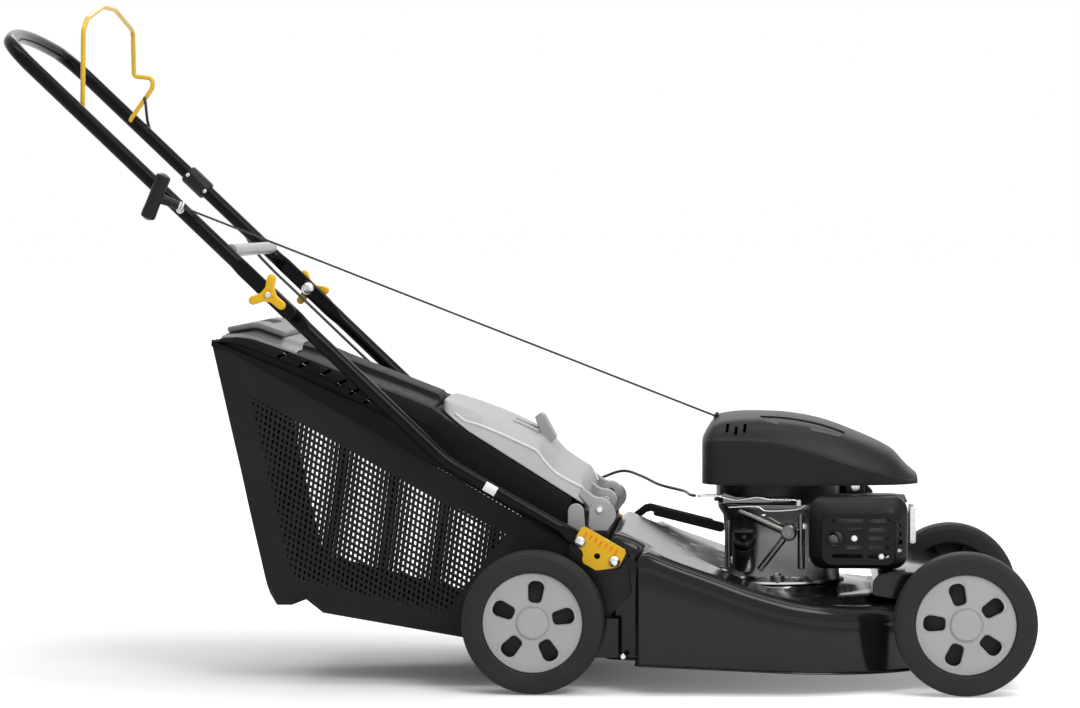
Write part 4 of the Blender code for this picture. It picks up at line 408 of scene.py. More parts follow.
def slab(name, outline, y0, y1):
    """A side-view outline of (x, z) pulled out between two widths."""
    return skinned(name, [[(x, y, z) for x, z in outline] for y in (y0, y1)])


def plank(name, outline, y0, y1, *looks, **more):
    """A slab that settles at once."""
    return settle(slab(name, outline, y0, y1), *looks, **more)


def placed(points, x, z=0.0):
    """Points that start with (x, z), moved to a place."""
    return [(x + point[0], z + point[1], *point[2:]) for point in points]


def tilted(outline, x, z, turn):
    """An outline turned about its own origin and moved to a place."""
    c, s = cos(turn), sin(turn)
    return [(x + u * c - v * s, z + u * s + v * c) for u, v in outline]


def arc(x, z, radius, degrees):
    """Points on an arc in side view."""
    return [(x + radius * cos(radians(a)), z + radius * sin(radians(a))) for a in degrees]


def rounded(corners, steps=5):
    """An outline whose corners (x, y, radius) become arcs."""
    points = []
    count = len(corners)
    for k, (x, y, radius) in enumerate(corners):
        here = Vector((x, y))
        before = Vector(corners[k - 1][:2]) - here
        after = Vector(corners[(k + 1) % count][:2]) - here
        if radius <= 0:
            points.append((x, y))
            continue
        half = before.angle(after) / 2
        reach = min(radius / tan(half), before.length * 0.49, after.length * 0.49)
        radius = reach * tan(half)
        centre = here + (before.normalized() + after.normalized()).normalized() * radius / sin(half)
        first = here + before.normalized() * reach - centre
        last = here + after.normalized() * reach - centre
        sweep = first.angle_signed(last)
        for j in range(steps + 1):
            points.append(tuple(centre + Matrix.Rotation(-sweep * j / steps, 2) @ first))
    return points


def boxed(low, high, radius=0, steps=5):
    """A rectangle, rounded where a radius is given."""
    (x0, y0), (x1, y1) = low, high
    return rounded([(x0, y0, radius), (x1, y0, radius), (x1, y1, radius), (x0, y1, radius)], steps)


def modified(obj, kind, **settings):
    """A piece with one more modifier."""
    modifier = obj.modifiers.new(kind.lower(), kind)
    for label, value in settings.items():
        setattr(modifier, label, value)
    return obj


def bevel(obj, width, segments=2, angle=30):
    """Soften the edges that are sharper than an angle."""
    return modified(obj, "BEVEL", width=width, segments=segments, limit_method="ANGLE",
                    angle_limit=radians(angle), harden_normals=True, use_clamp_overlap=True)


def applied(obj):
    """Bake the modifiers into the mesh."""
    graph = bpy.context.evaluated_depsgraph_get()
    mesh = bpy.data.meshes.new_from_object(obj.evaluated_get(graph), depsgraph=graph)
    old = obj.data
    obj.modifiers.clear()
    obj.data = mesh
    bpy.data.meshes.remove(old)
    return obj


def cut(obj, *cutters):
    """Take cutters out of a piece."""
    for cutter in cutters:
        modified(obj, "BOOLEAN", operation="DIFFERENCE", solver="EXACT", object=cutter)
        bpy.context.view_layer.update()
        applied(obj)
        bpy.data.objects.remove(cutter, do_unlink=True)
    return obj


def joined(obj, *others):
    """Put meshes together in one piece without a Boolean, for parts that only touch or overlap."""
    shape = bmesh.new()
    for part in (obj, *others):
        shape.from_mesh(part.data)
    shape.to_mesh(obj.data)
    shape.free()
    for part in others:
        bpy.data.objects.remove(part, do_unlink=True)
    return obj


def bent(corners, per_bend=8):
    """A run through corners (point, bend radius), with an arc at each inner corner."""
    route = [Vector(corners[0][0])]
    for (before, _), (here, radius), (after, _) in zip(corners, corners[1:], corners[2:]):
        here = Vector(here)
        back = (Vector(before) - here).normalized()
        ahead = (Vector(after) - here).normalized()
        half = back.angle(ahead) / 2
        reach = radius / tan(half)
        centre = here + (back + ahead).normalized() * radius / sin(half)
        first = here + back * reach - centre
        last = here + ahead * reach - centre
        for k in range(per_bend + 1):
            route.append(centre + first.slerp(last, k / per_bend).normalized() * radius)
    route.append(Vector(corners[-1][0]))
    return route


def between(a, b, c, d, t):
    """A point at a share of the way from b to c, on a smooth curve through all four."""
    return 0.5 * (2 * b + (c - a) * t + (2 * a - 5 * b + 4 * c - d) * t**2 + (3 * b - a - 3 * c + d) * t**3)


def spline(points, step):
    """Points about a step apart on a smooth curve through a route's own points."""
    points = [Vector(p) for p in points]
    padded = [2 * points[0] - points[1], *points, 2 * points[-1] - points[-2]]
    route = [points[0]]
    for a, b, c, d in zip(padded, padded[1:], padded[2:], padded[3:]):
        count = max(1, round((c - b).length / step))
        route += [between(a, b, c, d, k / count) for k in range(1, count + 1)]
    return route


def wire_piece(name, route, radius, sides=12):
    """A round rod along a route, with carried frames and closed ends."""
    rings = []
    side = None
    turns = [tau * j / sides for j in range(sides)]
    for k, place in enumerate(route):
        ahead = (route[min(k + 1, len(route) - 1)] - route[max(k - 1, 0)]).normalized()
        side = frame_of(ahead)[0] if side is None else (side - ahead * side.dot(ahead)).normalized()
        other = ahead.cross(side)
        rings.append([place + (side * cos(t) + other * sin(t)) * radius for t in turns])
    return skinned(name, rings)


def rod(name, start, end, radius, steps=24):
    """A straight rod with small chamfers at its ends."""
    start, end = Vector(start), Vector(end)
    length = (end - start).length
    soft = min(0.0008, radius * 0.25, length * 0.2)
    half = [(0, 0), (radius - soft, 0), (radius, soft)]
    return turned(name, half + [(r, length - a) for r, a in reversed(half)], start, end - start, steps)


def carried(node, material, edge=0.0, segments=2):
    """A refined copy in a solid's place: flat faces merged and edges softened."""
    shape = bmesh.new()
    shape.from_mesh(frame["nodes"][node].data)
    bmesh.ops.remove_doubles(shape, verts=shape.verts, dist=1e-5)
    bmesh.ops.dissolve_limit(
        shape, angle_limit=radians(1.0), use_dissolve_boundaries=False, verts=shape.verts, edges=shape.edges
    )
    return settle(from_shape(node + "_piece", shape), material, node, 35,
                  (edge, segments, 28) if edge else None)


print("helpers ready")

# %% [markdown]
# ## The starter rope and the stop cable
# A rope that is held at both ends runs straight. It leaves the guide on the handle, dives through the bush
# in the cowl and ends on the recoil pulley. The stop cable is stiffer: it follows the left tube and then
# dips under the cowl to the brake's lever. Both cross the joint where the handle folds, and both are tubes
# of mesh.

# %% Rope and cable
GUIDE = Vector((REAR - 0.4935, -(HANDLE_Y + 0.02), 0.679))
ENTRY = Vector((BLADE - 0.0896, -0.03, 0.3767))
ROPE_WAY = (GUIDE - ENTRY).normalized()
ROPE_R = 0.0015
CABLE_R = 0.0022
PULLEY_Z = PIVOT["starter_pulley_turn"].z
BRAKE = PIVOT["brake_lever_swing"]


def on_handle(u, y, n=0.0):
    """A place on the upper handle: along it, across it and in front of it."""
    return FOLD + UP * u + FRONTWARD * n + Vector((0, y, 0))


def cord_piece(name, node, route, radius, material):
    """A tube along a route that bends between the chassis and the handle."""
    obj = wire_piece(name, route, radius, 16)
    obj.data.shade_smooth()
    obj.data.materials.append(material)
    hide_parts(node)
    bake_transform(obj)
    return obj


groove_y = -(0.028 + ROPE_R + 0.0003)
rope_points = [GUIDE.lerp(ENTRY, k / 8) for k in range(9)]
rope_points += [ENTRY - ROPE_WAY * 0.03, (BLADE - 0.03, groove_y, PULLEY_Z + 0.006)]
rope_points += [(BLADE - 0.012, groove_y, PULLEY_Z), (BLADE, groove_y, PULLEY_Z)]
run_out = wire_piece("rope_at_the_grip", [GUIDE + ROPE_WAY * d for d in (0.0, 0.004)], ROPE_R * 0.97, 16)
run_out.data.materials.append(CORD_FIBRE)
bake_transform(run_out)
cord_piece("starter_rope_cord", "starter_rope", spline(rope_points, 0.012), ROPE_R, CORD_FIBRE)

lane = HANDLE_Y - 0.016 - 0.004
below = -0.0147
cable_end = Vector((BRAKE.x - 0.037 - CABLE_R, BRAKE.y - 0.004, BRAKE.z + 0.0035))
cable_points = [
    BAIL + Vector((0.023, lane + 0.004 - 0.0035 - CABLE_R - 0.0004, 0.034)),
    on_handle(0.33, HANDLE_Y + 0.0136, 0.002),
    on_handle(0.233, HANDLE_Y + 0.0182, 0.0),
    on_handle(0.16, HANDLE_Y + 0.0136, -0.002),
    on_handle(0.1, HANDLE_Y + 0.004, below),
    on_handle(0.06, lane, below),
    on_handle(0.0, lane, below),
    on_handle(-0.15, lane, below),
    on_handle(-0.27, lane, below + 0.002),
    (REAR - 0.085, lane, 0.289),
    (REAR - 0.015, lane, 0.264),
    (REAR + 0.055, lane, 0.266),
    (REAR + 0.104, lane - 0.002, 0.2815),
    (REAR + 0.135, lane - 0.035, 0.277),
    (REAR + 0.165, 0.08, 0.268),
    (REAR + 0.202, 0.02, 0.264),
    (cable_end.x - 0.008, cable_end.y + 0.022, cable_end.z),
    cable_end,
]
cord_piece("stop_cable_sheath", "stop_cable", spline(cable_points, 0.008), CABLE_R, CABLE_JACKET)

# %% [markdown]
# ## Wheels
# Each wheel is a smooth solid tyre round a dark ribbed core, under a pale moulded cover with five windows.
# The tyre and the cover are profiles turned round the axle. The windows are cut through the cover with a
# shallow step round them, and a narrow bevel gives each edge its line of light.

# %% Tyres, cores and covers
TREAD = [
    (0.0728, 0.0222), (0.076, 0.0224), (0.0905, 0.0225), (0.0922, 0.0222), (0.093, 0.0215), (0.0938, 0.0213),
    (0.0962, 0.0204), (0.0982, 0.0186), (0.0993, 0.016), (0.0998, 0.0125), (0.1, 0.008),
]
TYRE = [
    (0.0063, 0.009), (0.0706, 0.001), (0.0706, 0.0195), (0.0712, 0.0212), *TREAD,
    *[(radius, -along) for radius, along in reversed(TREAD)],
    (0.0706, -0.02), (0.0706, -0.004), (0.0165, -0.004), (0.015, -0.0215), (0.0063, -0.0215),
]
COVER = [
    (0.0, 0.015), (0.069, 0.0131), (0.07, 0.0138), (0.07, 0.0162), (0.0694, 0.0172), (0.0682, 0.0175),
    (0.0668, 0.0172), (0.0655, 0.0174), (0.06, 0.018), (0.045, 0.0184), (0.03, 0.0181), (0.024, 0.0178),
    (0.0232, 0.0172), (0.0222, 0.017), (0.0214, 0.0174), (0.0211, 0.0184), (0.0209, 0.02), (0.0203, 0.0207),
    (0.0192, 0.021), (0.012, 0.0207), (0.006, 0.0206), (0.0, 0.0206),
]
WINDOW = rounded([(0.0285, -0.0088, 0.0065), (0.0595, -0.0128, 0.0095), (0.0595, 0.0128, 0.0095),
                  (0.0285, 0.0088, 0.0065)], 6)
STEP = rounded([(0.0272, -0.0102, 0.0075), (0.064, -0.0148, 0.009), (0.064, 0.0148, 0.009),
                (0.0272, 0.0102, 0.0075)], 6)
RIB = boxed((0.0155, -0.0011), (0.0702, 0.0011))
LEAD = {"rear": 84, "front": 105}


def make_wheel(end, side, label):
    """A tyre, its ribbed core, and its cover with five windows."""
    at = PIVOT[f"wheel_{end}_{label}_roll"]
    axle = (0, side, 0)
    lathe(f"tyre_{end}_{label}_solid", TYRE, at, axle, 128, TYRE_RUBBER, f"tyre_{end}_{label}", 24,
          around=True)
    ribs = []
    for k in range(10):
        outline = tilted(RIB, at.x, at.z, tau * k / 10)
        ribs.append(slab("rib", outline, at.y - side * 0.0035, at.y - side * 0.019))
    core = joined(*ribs)
    core.name = f"wheel_ribs_{end}_{label}"
    settle(core, SATIN_PLASTIC, body=f"wheel_{end}_{label}", slot="rubber")
    cover = turned(f"cover_{end}_{label}", COVER, at, axle, 120)
    for k in range(5):
        turn = radians(LEAD[end] + 72 * k)
        for outline, depth in ((STEP, 0.0168), (WINDOW, 0.005)):
            opening = tilted(outline, at.x, at.z, turn)
            cut(cover, slab("opening", opening, at.y + side * depth, at.y + side * 0.03))
    settle(cover, HUB_GREY_AND_BAR_HIGHLIGHT, f"hub_{end}_{label}", 28, (0.00045, 2, 32))


for end in LEAD:
    for side, label in SIDES:
        make_wheel(end, side, label)
print("wheels made, tyre radius", TYRE[14][0])

# %% [markdown]
# ## Tubes
# The handle is round steel tube that is pressed flat where bolts go through it. A section that changes
# along the run does this: a ring whose two half-widths and squareness slide from round to flat.

# %% Pressed tubes
def pressed(name, route, normal, section, sides=32):
    """A tube along a route. Its section is (across, up, squareness, shift across, shift up)."""
    rings = []
    normal = Vector(normal).normalized()
    for k, place in enumerate(route):
        ahead = (route[min(k + 1, len(route) - 1)] - route[max(k - 1, 0)]).normalized()
        other = ahead.cross(normal).normalized()
        across, upward, square, shift, lift = section(k)
        ring = []
        for j in range(sides):
            turn = tau * j / sides
            c, s = cos(turn), sin(turn)
            power = 1 - 0.62 * square
            u = copysign(abs(c) ** power, c) * across + shift
            v = copysign(abs(s) ** power, s) * upward + lift
            ring.append(place + normal * u + other * v)
        rings.append(ring)
    return skinned(name, rings)


def measured(route):
    """Distance along a route at each of its points."""
    total = [0.0]
    for a, b in zip(route, route[1:]):
        total.append(total[-1] + (b - a).length)
    return total


def refined(route, step):
    """The same run with points no further apart than a step."""
    points = [route[0]]
    for a, b in zip(route, route[1:]):
        count = max(1, ceil((b - a).length / step))
        points += [a.lerp(b, k / count) for k in range(1, count + 1)]
    return points


def ease(value, start, end):
    """A soft step from 0 to 1 between two values."""
    share = min(1.0, max(0.0, (value - start) / (end - start)))
    return share * share * (3 - 2 * share)


FLAT_T, FLAT_W = 0.0085, 0.0218
SUNK = FLAT_T / 2 + 0.0003
top = Vector((FOLD.x, 0, FOLD.z)) + UP * 0.012
knee = Vector((REAR - 0.1235, 0, 0.319))
foot = Vector((REAR + 0.1235, 0, 0.1765))


def half_sizes(flat, to_end, rounding):
    """Half the thickness and half the width of a tube, pressed flat by a share and rounded at its end."""
    tip = min(1.0, (to_end / rounding + 0.02) ** 0.5)
    thick, wide = (TUBE_R + (size / 2 - TUBE_R) * flat for size in (FLAT_T, FLAT_W))
    return thick, wide * (0.45 + 0.55 * tip)


def lower_tube(side, label):
    """A lower handle tube, and the white tag on the right one."""
    shift = Vector((0, side * HANDLE_Y, 0))
    route = refined(bent([(top + shift, 0), (knee + shift, 0.16), (foot + shift, 0)], 16), 0.004)
    run = measured(route)

    def section(k):
        here, left = run[k], run[-1] - run[k]
        at_top = 1 - ease(here, 0.058, 0.084)
        flat = max(at_top, 1 - ease(left, 0.084, 0.106))
        return *half_sizes(flat, min(here, left), 0.012), flat, side * at_top * -SUNK, 0

    tube = pressed(f"tube_{label}", route, (0, 1, 0), section)
    if label == "right":
        k = min(range(len(route)), key=lambda k: abs(route[k].x - (REAR - 0.0625)))
        way, spot = (route[k + 1] - route[k - 1]).normalized(), route[k]
        across = way.cross(Vector((0, -1, 0))).normalized()
        curve = [(0.01078, a) for a in range(-40, 41, 8)] + [(0.0101, a) for a in range(40, -41, -8)]
        ends = []
        for reach in (-0.0093, 0.0093):
            arms = [(radius, across * sin(radians(a)) - Vector((0, cos(radians(a)), 0)))
                    for radius, a in curve]
            ends.append([spot + way * reach + radius * arm for radius, arm in arms])
        settle(skinned("bare_tag", ends), WHITE_TAG, f"lower_tube_{label}", 40)
    settle(tube, TUBE_PAINT, f"lower_tube_{label}", 40)


for side, label in SIDES:
    lower_tube(side, label)

LOOP_END, LOOP_CORNER, CROWN_PEAK = 0.539 - 0.031, 0.06, 0.539 + 0.0144
loop_corners = [(on_handle(-0.046, -HANDLE_Y), 0), (on_handle(LOOP_END, -HANDLE_Y), LOOP_CORNER),
                (on_handle(CROWN_PEAK, 0), 0.5), (on_handle(LOOP_END, HANDLE_Y), LOOP_CORNER),
                (on_handle(-0.046, HANDLE_Y), 0)]
loop = refined(bent(loop_corners, 18), 0.004)
loop_along = measured(loop)


def loop_section(k):
    """The loop's section at one of its points, pressed flat towards both ends."""
    here = min(loop_along[k], loop_along[-1] - loop_along[k])
    flat = 1 - ease(here, 0.094, 0.116)
    thick, wide = half_sizes(flat, here, 0.01)
    return wide, thick, flat, 0, -flat * SUNK


settle(pressed("handle_loop", loop, FRONTWARD, loop_section), TUBE_PAINT, "upper_handle", 40)
# The crossbar is painted the hubs' pale grey: a painted highlight that stands for the strong reflection on a black
# tube.
bar_ends = [on_handle(0.0835, side * (HANDLE_Y - 0.004), 0.006) for side in (-1, 1)]
settle(rod("crossbar", *bar_ends, 0.009, 32), HUB_GREY_AND_BAR_HIGHLIGHT, body="handle", slot="grey_plastic")
print("tubes made, loop", round(loop_along[-1], 3), "m along")

# %% [markdown]
# ## What the handle carries
# The yellow bail is one bent wire. The star knobs are three rounded arms with a bolt's end sunk in the
# middle, and the domed heads of their bolts sit inside the tubes. The starter grip is a soft T-shaped
# moulding.

# %% Bail
def at_bail(x, z, y):
    """A place on the bail, from the middle between its pins."""
    return BAIL + Vector((x, y, z))


BAIL_Y = HANDLE_Y - 0.016
bail_corners = [
    (at_bail(0, 0, -(HANDLE_Y - 0.0045)), 0), (at_bail(0, 0, -BAIL_Y), 0.005),
    (at_bail(0.002, 0.116, -BAIL_Y), 0.016), (at_bail(0.004, 0.134, -BAIL_Y + 0.016), 0.016),
    (at_bail(0.006, 0.157, -0.052), 0.03), (at_bail(0.007, 0.157, 0.03), 0.03),
    (at_bail(0.009, 0.133, BAIL_Y - 0.02), 0.02), (at_bail(0.006, 0.066, BAIL_Y), 0.006),
    (at_bail(0.035, 0.063, BAIL_Y), 0.008), (at_bail(0.034, 0.048, BAIL_Y), 0.01),
    (at_bail(0.0, 0.0, BAIL_Y), 0.005), (at_bail(0, 0, HANDLE_Y - 0.0045), 0),
]
settle(wire_piece("bail_wire", bent(bail_corners, 9), 0.0034, 20), YELLOW_PAINT, "bail", 50)
print("bail made")

# %% Knobs and their bolts
ARM_HALF = 0.0062
ARM_REACH = 0.0295 - ARM_HALF
HUB_R, HUB_SHARE = 0.0103, 0.0106 / 0.44
KNOB_THICK, TUBE_GAP = 0.013, 0.0006
KNOB_STEPS = [(0.0, 0.86), (0.0012, 0.95), (0.003, 0.99), (0.0085, 1.0), (0.0108, 0.97), (0.0122, 0.9),
              (0.0129, 0.78), (0.013, 0.44), (0.0118, 0.32), (0.0118, 0.02)]


def star_knob(side, label):
    """A knob with three rounded arms, its domed bolt through the tubes, and the nut in its middle."""
    at = PIVOT[f"knob_{label}_turn"]
    low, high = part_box(f"knob_{label}")
    inner = low.y if side > 0 else high.y
    lead = radians(112 if side > 0 else 80)
    rings = []
    for depth, share in KNOB_STEPS:
        ring = []
        for k in range(120):
            turn = lead + tau * k / 120
            off = radians(abs((120 * k / 40 + 60) % 120 - 60))
            over = ARM_REACH * sin(off)
            if over < ARM_HALF:
                arm = ARM_REACH * cos(off) + sqrt(ARM_HALF**2 - over**2)
            else:
                arm = ARM_HALF / sin(off)
            radius = (arm**7 + HUB_R**7) ** (1 / 7) * share
            radius = min(radius, HUB_SHARE * share) if share < 0.5 else radius
            ring.append((at.x + radius * cos(turn), inner + side * depth, at.z + radius * sin(turn)))
        rings.append(ring)
    settle(skinned(f"star_{label}", rings), YELLOW_PLASTIC, f"knob_{label}", 45)
    head = HANDLE_Y - FLAT_T - TUBE_GAP
    tip = HANDLE_Y + FLAT_T + TUBE_GAP + KNOB_THICK + 0.003
    dome = [(0.0, 0.0055), (0.003, 0.0053), (0.0058, 0.0046), (0.0079, 0.0034), (0.0092, 0.0016),
            (0.0095, 0.0004), (0.0093, 0.0), (0.004, 0.0)]
    profile = [(radius, head - depth) for radius, depth in dome]
    profile += [(0.004, tip - 0.0006), (0.0034, tip), (0.0, tip)]
    lathe(f"bolt_{label}", profile, (FOLD.x, 0, FOLD.z), (0, side, 0), 48, ZINC, f"knob_bolt_{label}")
    nut = [(0.0, 0.0), (0.0044, 0.0), (0.0046, 0.0004), (0.0046, 0.0018), (0.004, 0.0024), (0.0, 0.0024)]
    lathe(f"knob_nut_{label}", nut, (at.x, inner + side * 0.0116, at.z), (0, side, 0), 6, ZINC,
          body=f"star_knob_{label}", slot="zinc_steel", smooth=False)


for side, label in SIDES:
    star_knob(side, label)
print("knobs made")

# %% Grip, guide and clamp
long_way = Vector((-ROPE_WAY.z, 0, ROPE_WAY.x)).normalized()
long_way = -long_way if long_way.z < 0 else long_way
side_way = ROPE_WAY.cross(long_way).normalized()
grip_at = GUIDE + ROPE_WAY * 0.039
rings = []
for k in range(25):
    t = -1 + 2 * k / 24
    end = sqrt(max(0.0, 1 - max(0.0, (abs(t) - 0.8) / 0.2) ** 2))
    half = (0.01 + 0.001 * t * t) * (0.25 + 0.75 * end)
    centre = grip_at + long_way * 0.0345 * t
    ring = []
    for j in range(28):
        c, s = cos(tau * j / 28), sin(tau * j / 28)
        u, v = (copysign(abs(value) ** 0.7, value) * half for value in (c, s))
        ring.append(centre + side_way * u + ROPE_WAY * v)
    rings.append(ring)
settle(skinned("grip_bar", rings), SATIN_PLASTIC, "starter_grip", 40)
neck = [(0.0, 0.0021), (0.0044, 0.0021), (0.0056, 0.003), (0.006, 0.005), (0.0062, 0.012), (0.0066, 0.022),
        (0.0076, 0.03), (0.0094, 0.034), (0.0, 0.036)]
lathe("grip_neck", neck, GUIDE, ROPE_WAY, 40, SATIN_PLASTIC, body="grip", slot="satin_black")
ferrule = [(0.0018, 0.00205), (0.005, 0.00205), (0.0061, 0.0026), (0.0064, 0.0032), (0.0064, 0.0042),
           (0.0062, 0.0046), (0.0018, 0.0046)]
lathe("grip_ferrule", ferrule, GUIDE, ROPE_WAY, 40, WHITE_TAG, body="grip", slot="grey_plastic", around=True)

eye = [(0.0065 + 0.0018 * cos(a), 0.0018 * sin(a)) for a in [tau * k / 16 for k in range(16)]]
lathe("guide_eye", eye, GUIDE, ROPE_WAY, 48, ZINC, "rope_guide", around=True)
tube_side = on_handle((GUIDE - FOLD).dot(UP), -HANDLE_Y)
pad_at = Vector((tube_side.x, tube_side.y - 0.01, tube_side.z))
stud = rod("guide_stud", GUIDE + (pad_at - GUIDE).normalized() * 0.006, pad_at - Vector((0, 0.0018, 0)),
           0.0023, 20)
pad = rod("guide_pad", pad_at, pad_at - Vector((0, 0.0035, 0)), 0.0055, 32)
settle(joined(pad, stud), ZINC, body="handle", slot="zinc_steel")

CLAMP_U = 0.233
half = [(0.0108, 0.021), (0.0125, 0.021), (0.0139, 0.0195), (0.0144, 0.0165)]
sleeve = half + [(radius, -along) for radius, along in reversed(half)]
at = on_handle(CLAMP_U, HANDLE_Y)
lathe("clamp_sleeve", sleeve, at, UP, 48, SATIN_PLASTIC, "cable_clamp", 35, (0.0004,), around=True)
for k, shift in enumerate((-0.019, 0.0165)):
    ends = [on_handle(CLAMP_U + shift, HANDLE_Y - depth) for depth in (0.013, 0.0174)]
    settle(rod(f"clamp_screw_{k}", *ends, 0.0029, 32), ZINC, body="handle", slot="zinc_steel")
print("handle fittings made")

# %% [markdown]
# ## The deck
# The deck is one pressed sheet of steel, open below, with a bead at the shoulder and a rolled lip at the
# foot. It is made as rings that follow its plan outline: down the outside wall, over the shoulder, in to
# the engine's pad, and back under. More points round the plan and along each bend make the gloss flow.

# %% Deck
def on_curve(table, x):
    """A smooth curve through a table of (x, value)."""
    if x <= table[0][0]:
        return table[0][1]
    if x >= table[-1][0]:
        return table[-1][1]
    for k, ((x0, v0), (x1, v1)) in enumerate(zip(table, table[1:])):
        if x <= x1:
            t = (x - x0) / (x1 - x0)
            before = table[max(k - 1, 0)]
            after = table[min(k + 2, len(table) - 1)]
            m0 = (v1 - before[1]) / (x1 - before[0]) * (x1 - x0)
            m1 = (after[1] - v0) / (after[0] - x0) * (x1 - x0)
            return (v0 * (2 * t**3 - 3 * t**2 + 1) + m0 * (t**3 - 2 * t**2 + t) + v1 * (3 * t**2 - 2 * t**3)
                    + m1 * (t**3 - t**2))


DECK_R = 0.238
BOLT_WALL = 0.1965
DECK_TOP = [(0.1015, 0.228), (0.1365, 0.213), (0.1875, 0.19), (0.2485, 0.168), (0.3095, 0.146),
            (0.3705, 0.13), (0.4315, 0.122), (0.4925, 0.119), (0.6, 0.118)]
DECK_REAR_Y = 0.1765
BACK = REAR + 0.1015
SIDE = REAR + 0.146
PAD_Z, PAD_R, PAD_BLEND = 0.138, 0.106, 0.034
SHEET = 0.002
SHOULDER_R = 0.018
LIP = [(0.0036, 0.0002), (0.004, 0.0012), (0.0034, 0.0024), (0.0018, 0.003), (0.0, 0.0044), (0.0, 0.01)]
BEAD = [(0.0, 0.029), (-0.0004, 0.027), (0.0004, 0.0245), (0.0008, 0.0215), (0.0, 0.0185)]


def deck_plan():
    """The plan outline: round at the front, straight along the sides and stepped in at the rear."""
    turns = [radians(3.75 * k) for k in range(24)]
    half = [(BLADE + DECK_R * cos(a), DECK_R * sin(a)) for a in turns]
    span = BLADE - SIDE
    half += [(BLADE - span * k / 12, DECK_R) for k in range(1, 12)]
    corners = rounded([(SIDE + 0.05, DECK_R, 0), (SIDE, DECK_R, 0.006), (SIDE - 0.001, DECK_REAR_Y, 0.006),
                       (BACK, DECK_REAR_Y, 0.012), (BACK, 0, 0)], 5)
    half += corners[1:-1]
    half += [(BACK, DECK_REAR_Y * k / 10) for k in range(9, 0, -1)]
    return [*half, (BACK, 0.0), *[(x, -y) for x, y in reversed(half[1:])]]


def deck_rim(x):
    return 0.042 - 0.02 * (x - BACK) / (BLADE + DECK_R - BACK)


def inset(here, out, reach):
    """A point moved in from the plan's outline, kept out of the corners that are sharper than the move."""
    spot = here - out * reach
    wide = abs(here.y) > DECK_REAR_Y + 0.007
    if wide or here.x < SIDE - 0.008:
        spot.x = max(spot.x, (SIDE if wide else BACK) + reach)
        spot.y = copysign(min(abs(spot.y), (DECK_R if wide else DECK_REAR_Y) - reach), spot.y)
    return spot


def deck_level(x):
    return on_curve([(REAR + a, z) for a, z in DECK_TOP], x)


def make_deck():
    """The pressing as rings round its plan: up the outside, in to the engine's pad, and back under."""
    plan = deck_plan()
    centre = Vector((BLADE, 0))
    columns = []
    for i, place in enumerate(plan):
        here = Vector(place)
        along = (Vector(plan[(i + 1) % len(plan)]) - Vector(plan[i - 1])).normalized()
        out = Vector((along.y, -along.x))
        inner = inset(here, out, SHOULDER_R)
        rim, crest = deck_rim(here.x), deck_level(inner.x)
        spoke = (inner - centre).normalized()
        blend = centre + spoke * (PAD_R + PAD_BLEND)
        blend_z = max(deck_level(blend.x), PAD_Z - 0.008)
        pad = centre + spoke * PAD_R
        bore = centre + spoke * 0.03
        spots = [(here + out * reach, rim + rise) for reach, rise in LIP]
        spots += [(here, rim + 0.01 + (crest - 0.03 - rim - 0.01) * k / 4) for k in (1, 2, 3)]
        spots += [(here + out * reach, crest - drop) for reach, drop in BEAD]
        for k in range(1, 7):
            t = pi / 2 * k / 6
            reach = SHOULDER_R * (1 - cos(t))
            spots.append((inset(here, out, reach), crest - SHOULDER_R * (1 - sin(t))))
        for t in (0.12, 0.24, 0.36, 0.48, 0.6, 0.74, 0.88):
            spot = inner.lerp(blend, t)
            low = PAD_Z - 0.008 if t > 0.3 else 0.0
            held = low + (1 - min(1.0, t / 0.6)) * (crest - low) if low else 0.0
            spots.append((spot, max(deck_level(spot.x), held)))
        spots += [(blend, blend_z), (blend.lerp(pad, 0.5), blend_z + (PAD_Z - blend_z) * 0.6),
                  (pad, PAD_Z - 0.0004), (pad.lerp(centre, 0.04), PAD_Z), (bore, PAD_Z),
                  (bore, PAD_Z - SHEET), (pad, PAD_Z - SHEET)]
        spots += [(blend, blend_z - SHEET), (inner, crest - SHEET), (here - out * 0.0052, crest - 0.0068),
                  (here - out * SHEET, crest - SHOULDER_R), (here - out * SHEET, rim + 0.0002)]
        columns.append([(spot.x, spot.y, z) for spot, z in spots])
    return skinned("deck_pressing", list(zip(*columns)), around=True)


deck = make_deck()
link_z = PIVOT["link_swing"].z
exit_x = BLADE + sqrt(DECK_R**2 - 0.1725**2)
cut(deck, slab("mouth", boxed((BACK - 0.01, 0.115), (BACK + 0.01, 0.204)), -0.154, 0.154))
for x, reach in ((BACK, 0.02), (exit_x, 0.03)):
    opening = boxed((x - reach, link_z - 0.01), (x + reach, link_z + 0.0105))
    cut(deck, slab("link_slot", opening, 0.1635, 0.1725))
lever_at = PIVOT["height_lever_swing"]
bore_ends = [(lever_at.x, DECK_R + y, lever_at.z) for y in (-0.02, 0.02)]
cut(deck, rod("lever_bore", *bore_ends, 0.0063))
settle(deck, DECK_PAINT, "deck", 38)
APRON = [(0.07, 0.0465, 0.004), (0.118, 0.0465, 0), (0.118, 0.102, 0), (0.07, 0.102, 0.012)]
for side, label in SIDES:
    plank(f"deck_apron_{label}", rounded(placed(APRON, REAR)), side * 0.1935, side * 0.1958, DECK_PAINT,
          "deck", 38, (0.0008, 2, 40))
bolt_ends = [(REAR + 0.1245, -BOLT_WALL - out, 0.0485) for out in (-0.003, 0.0012)]
settle(rod("deck_bolt_0", *bolt_ends, 0.004, 32), ZINC, body="chassis", slot="zinc_steel")
print("deck made of", len(deck.data.polygons), "faces")

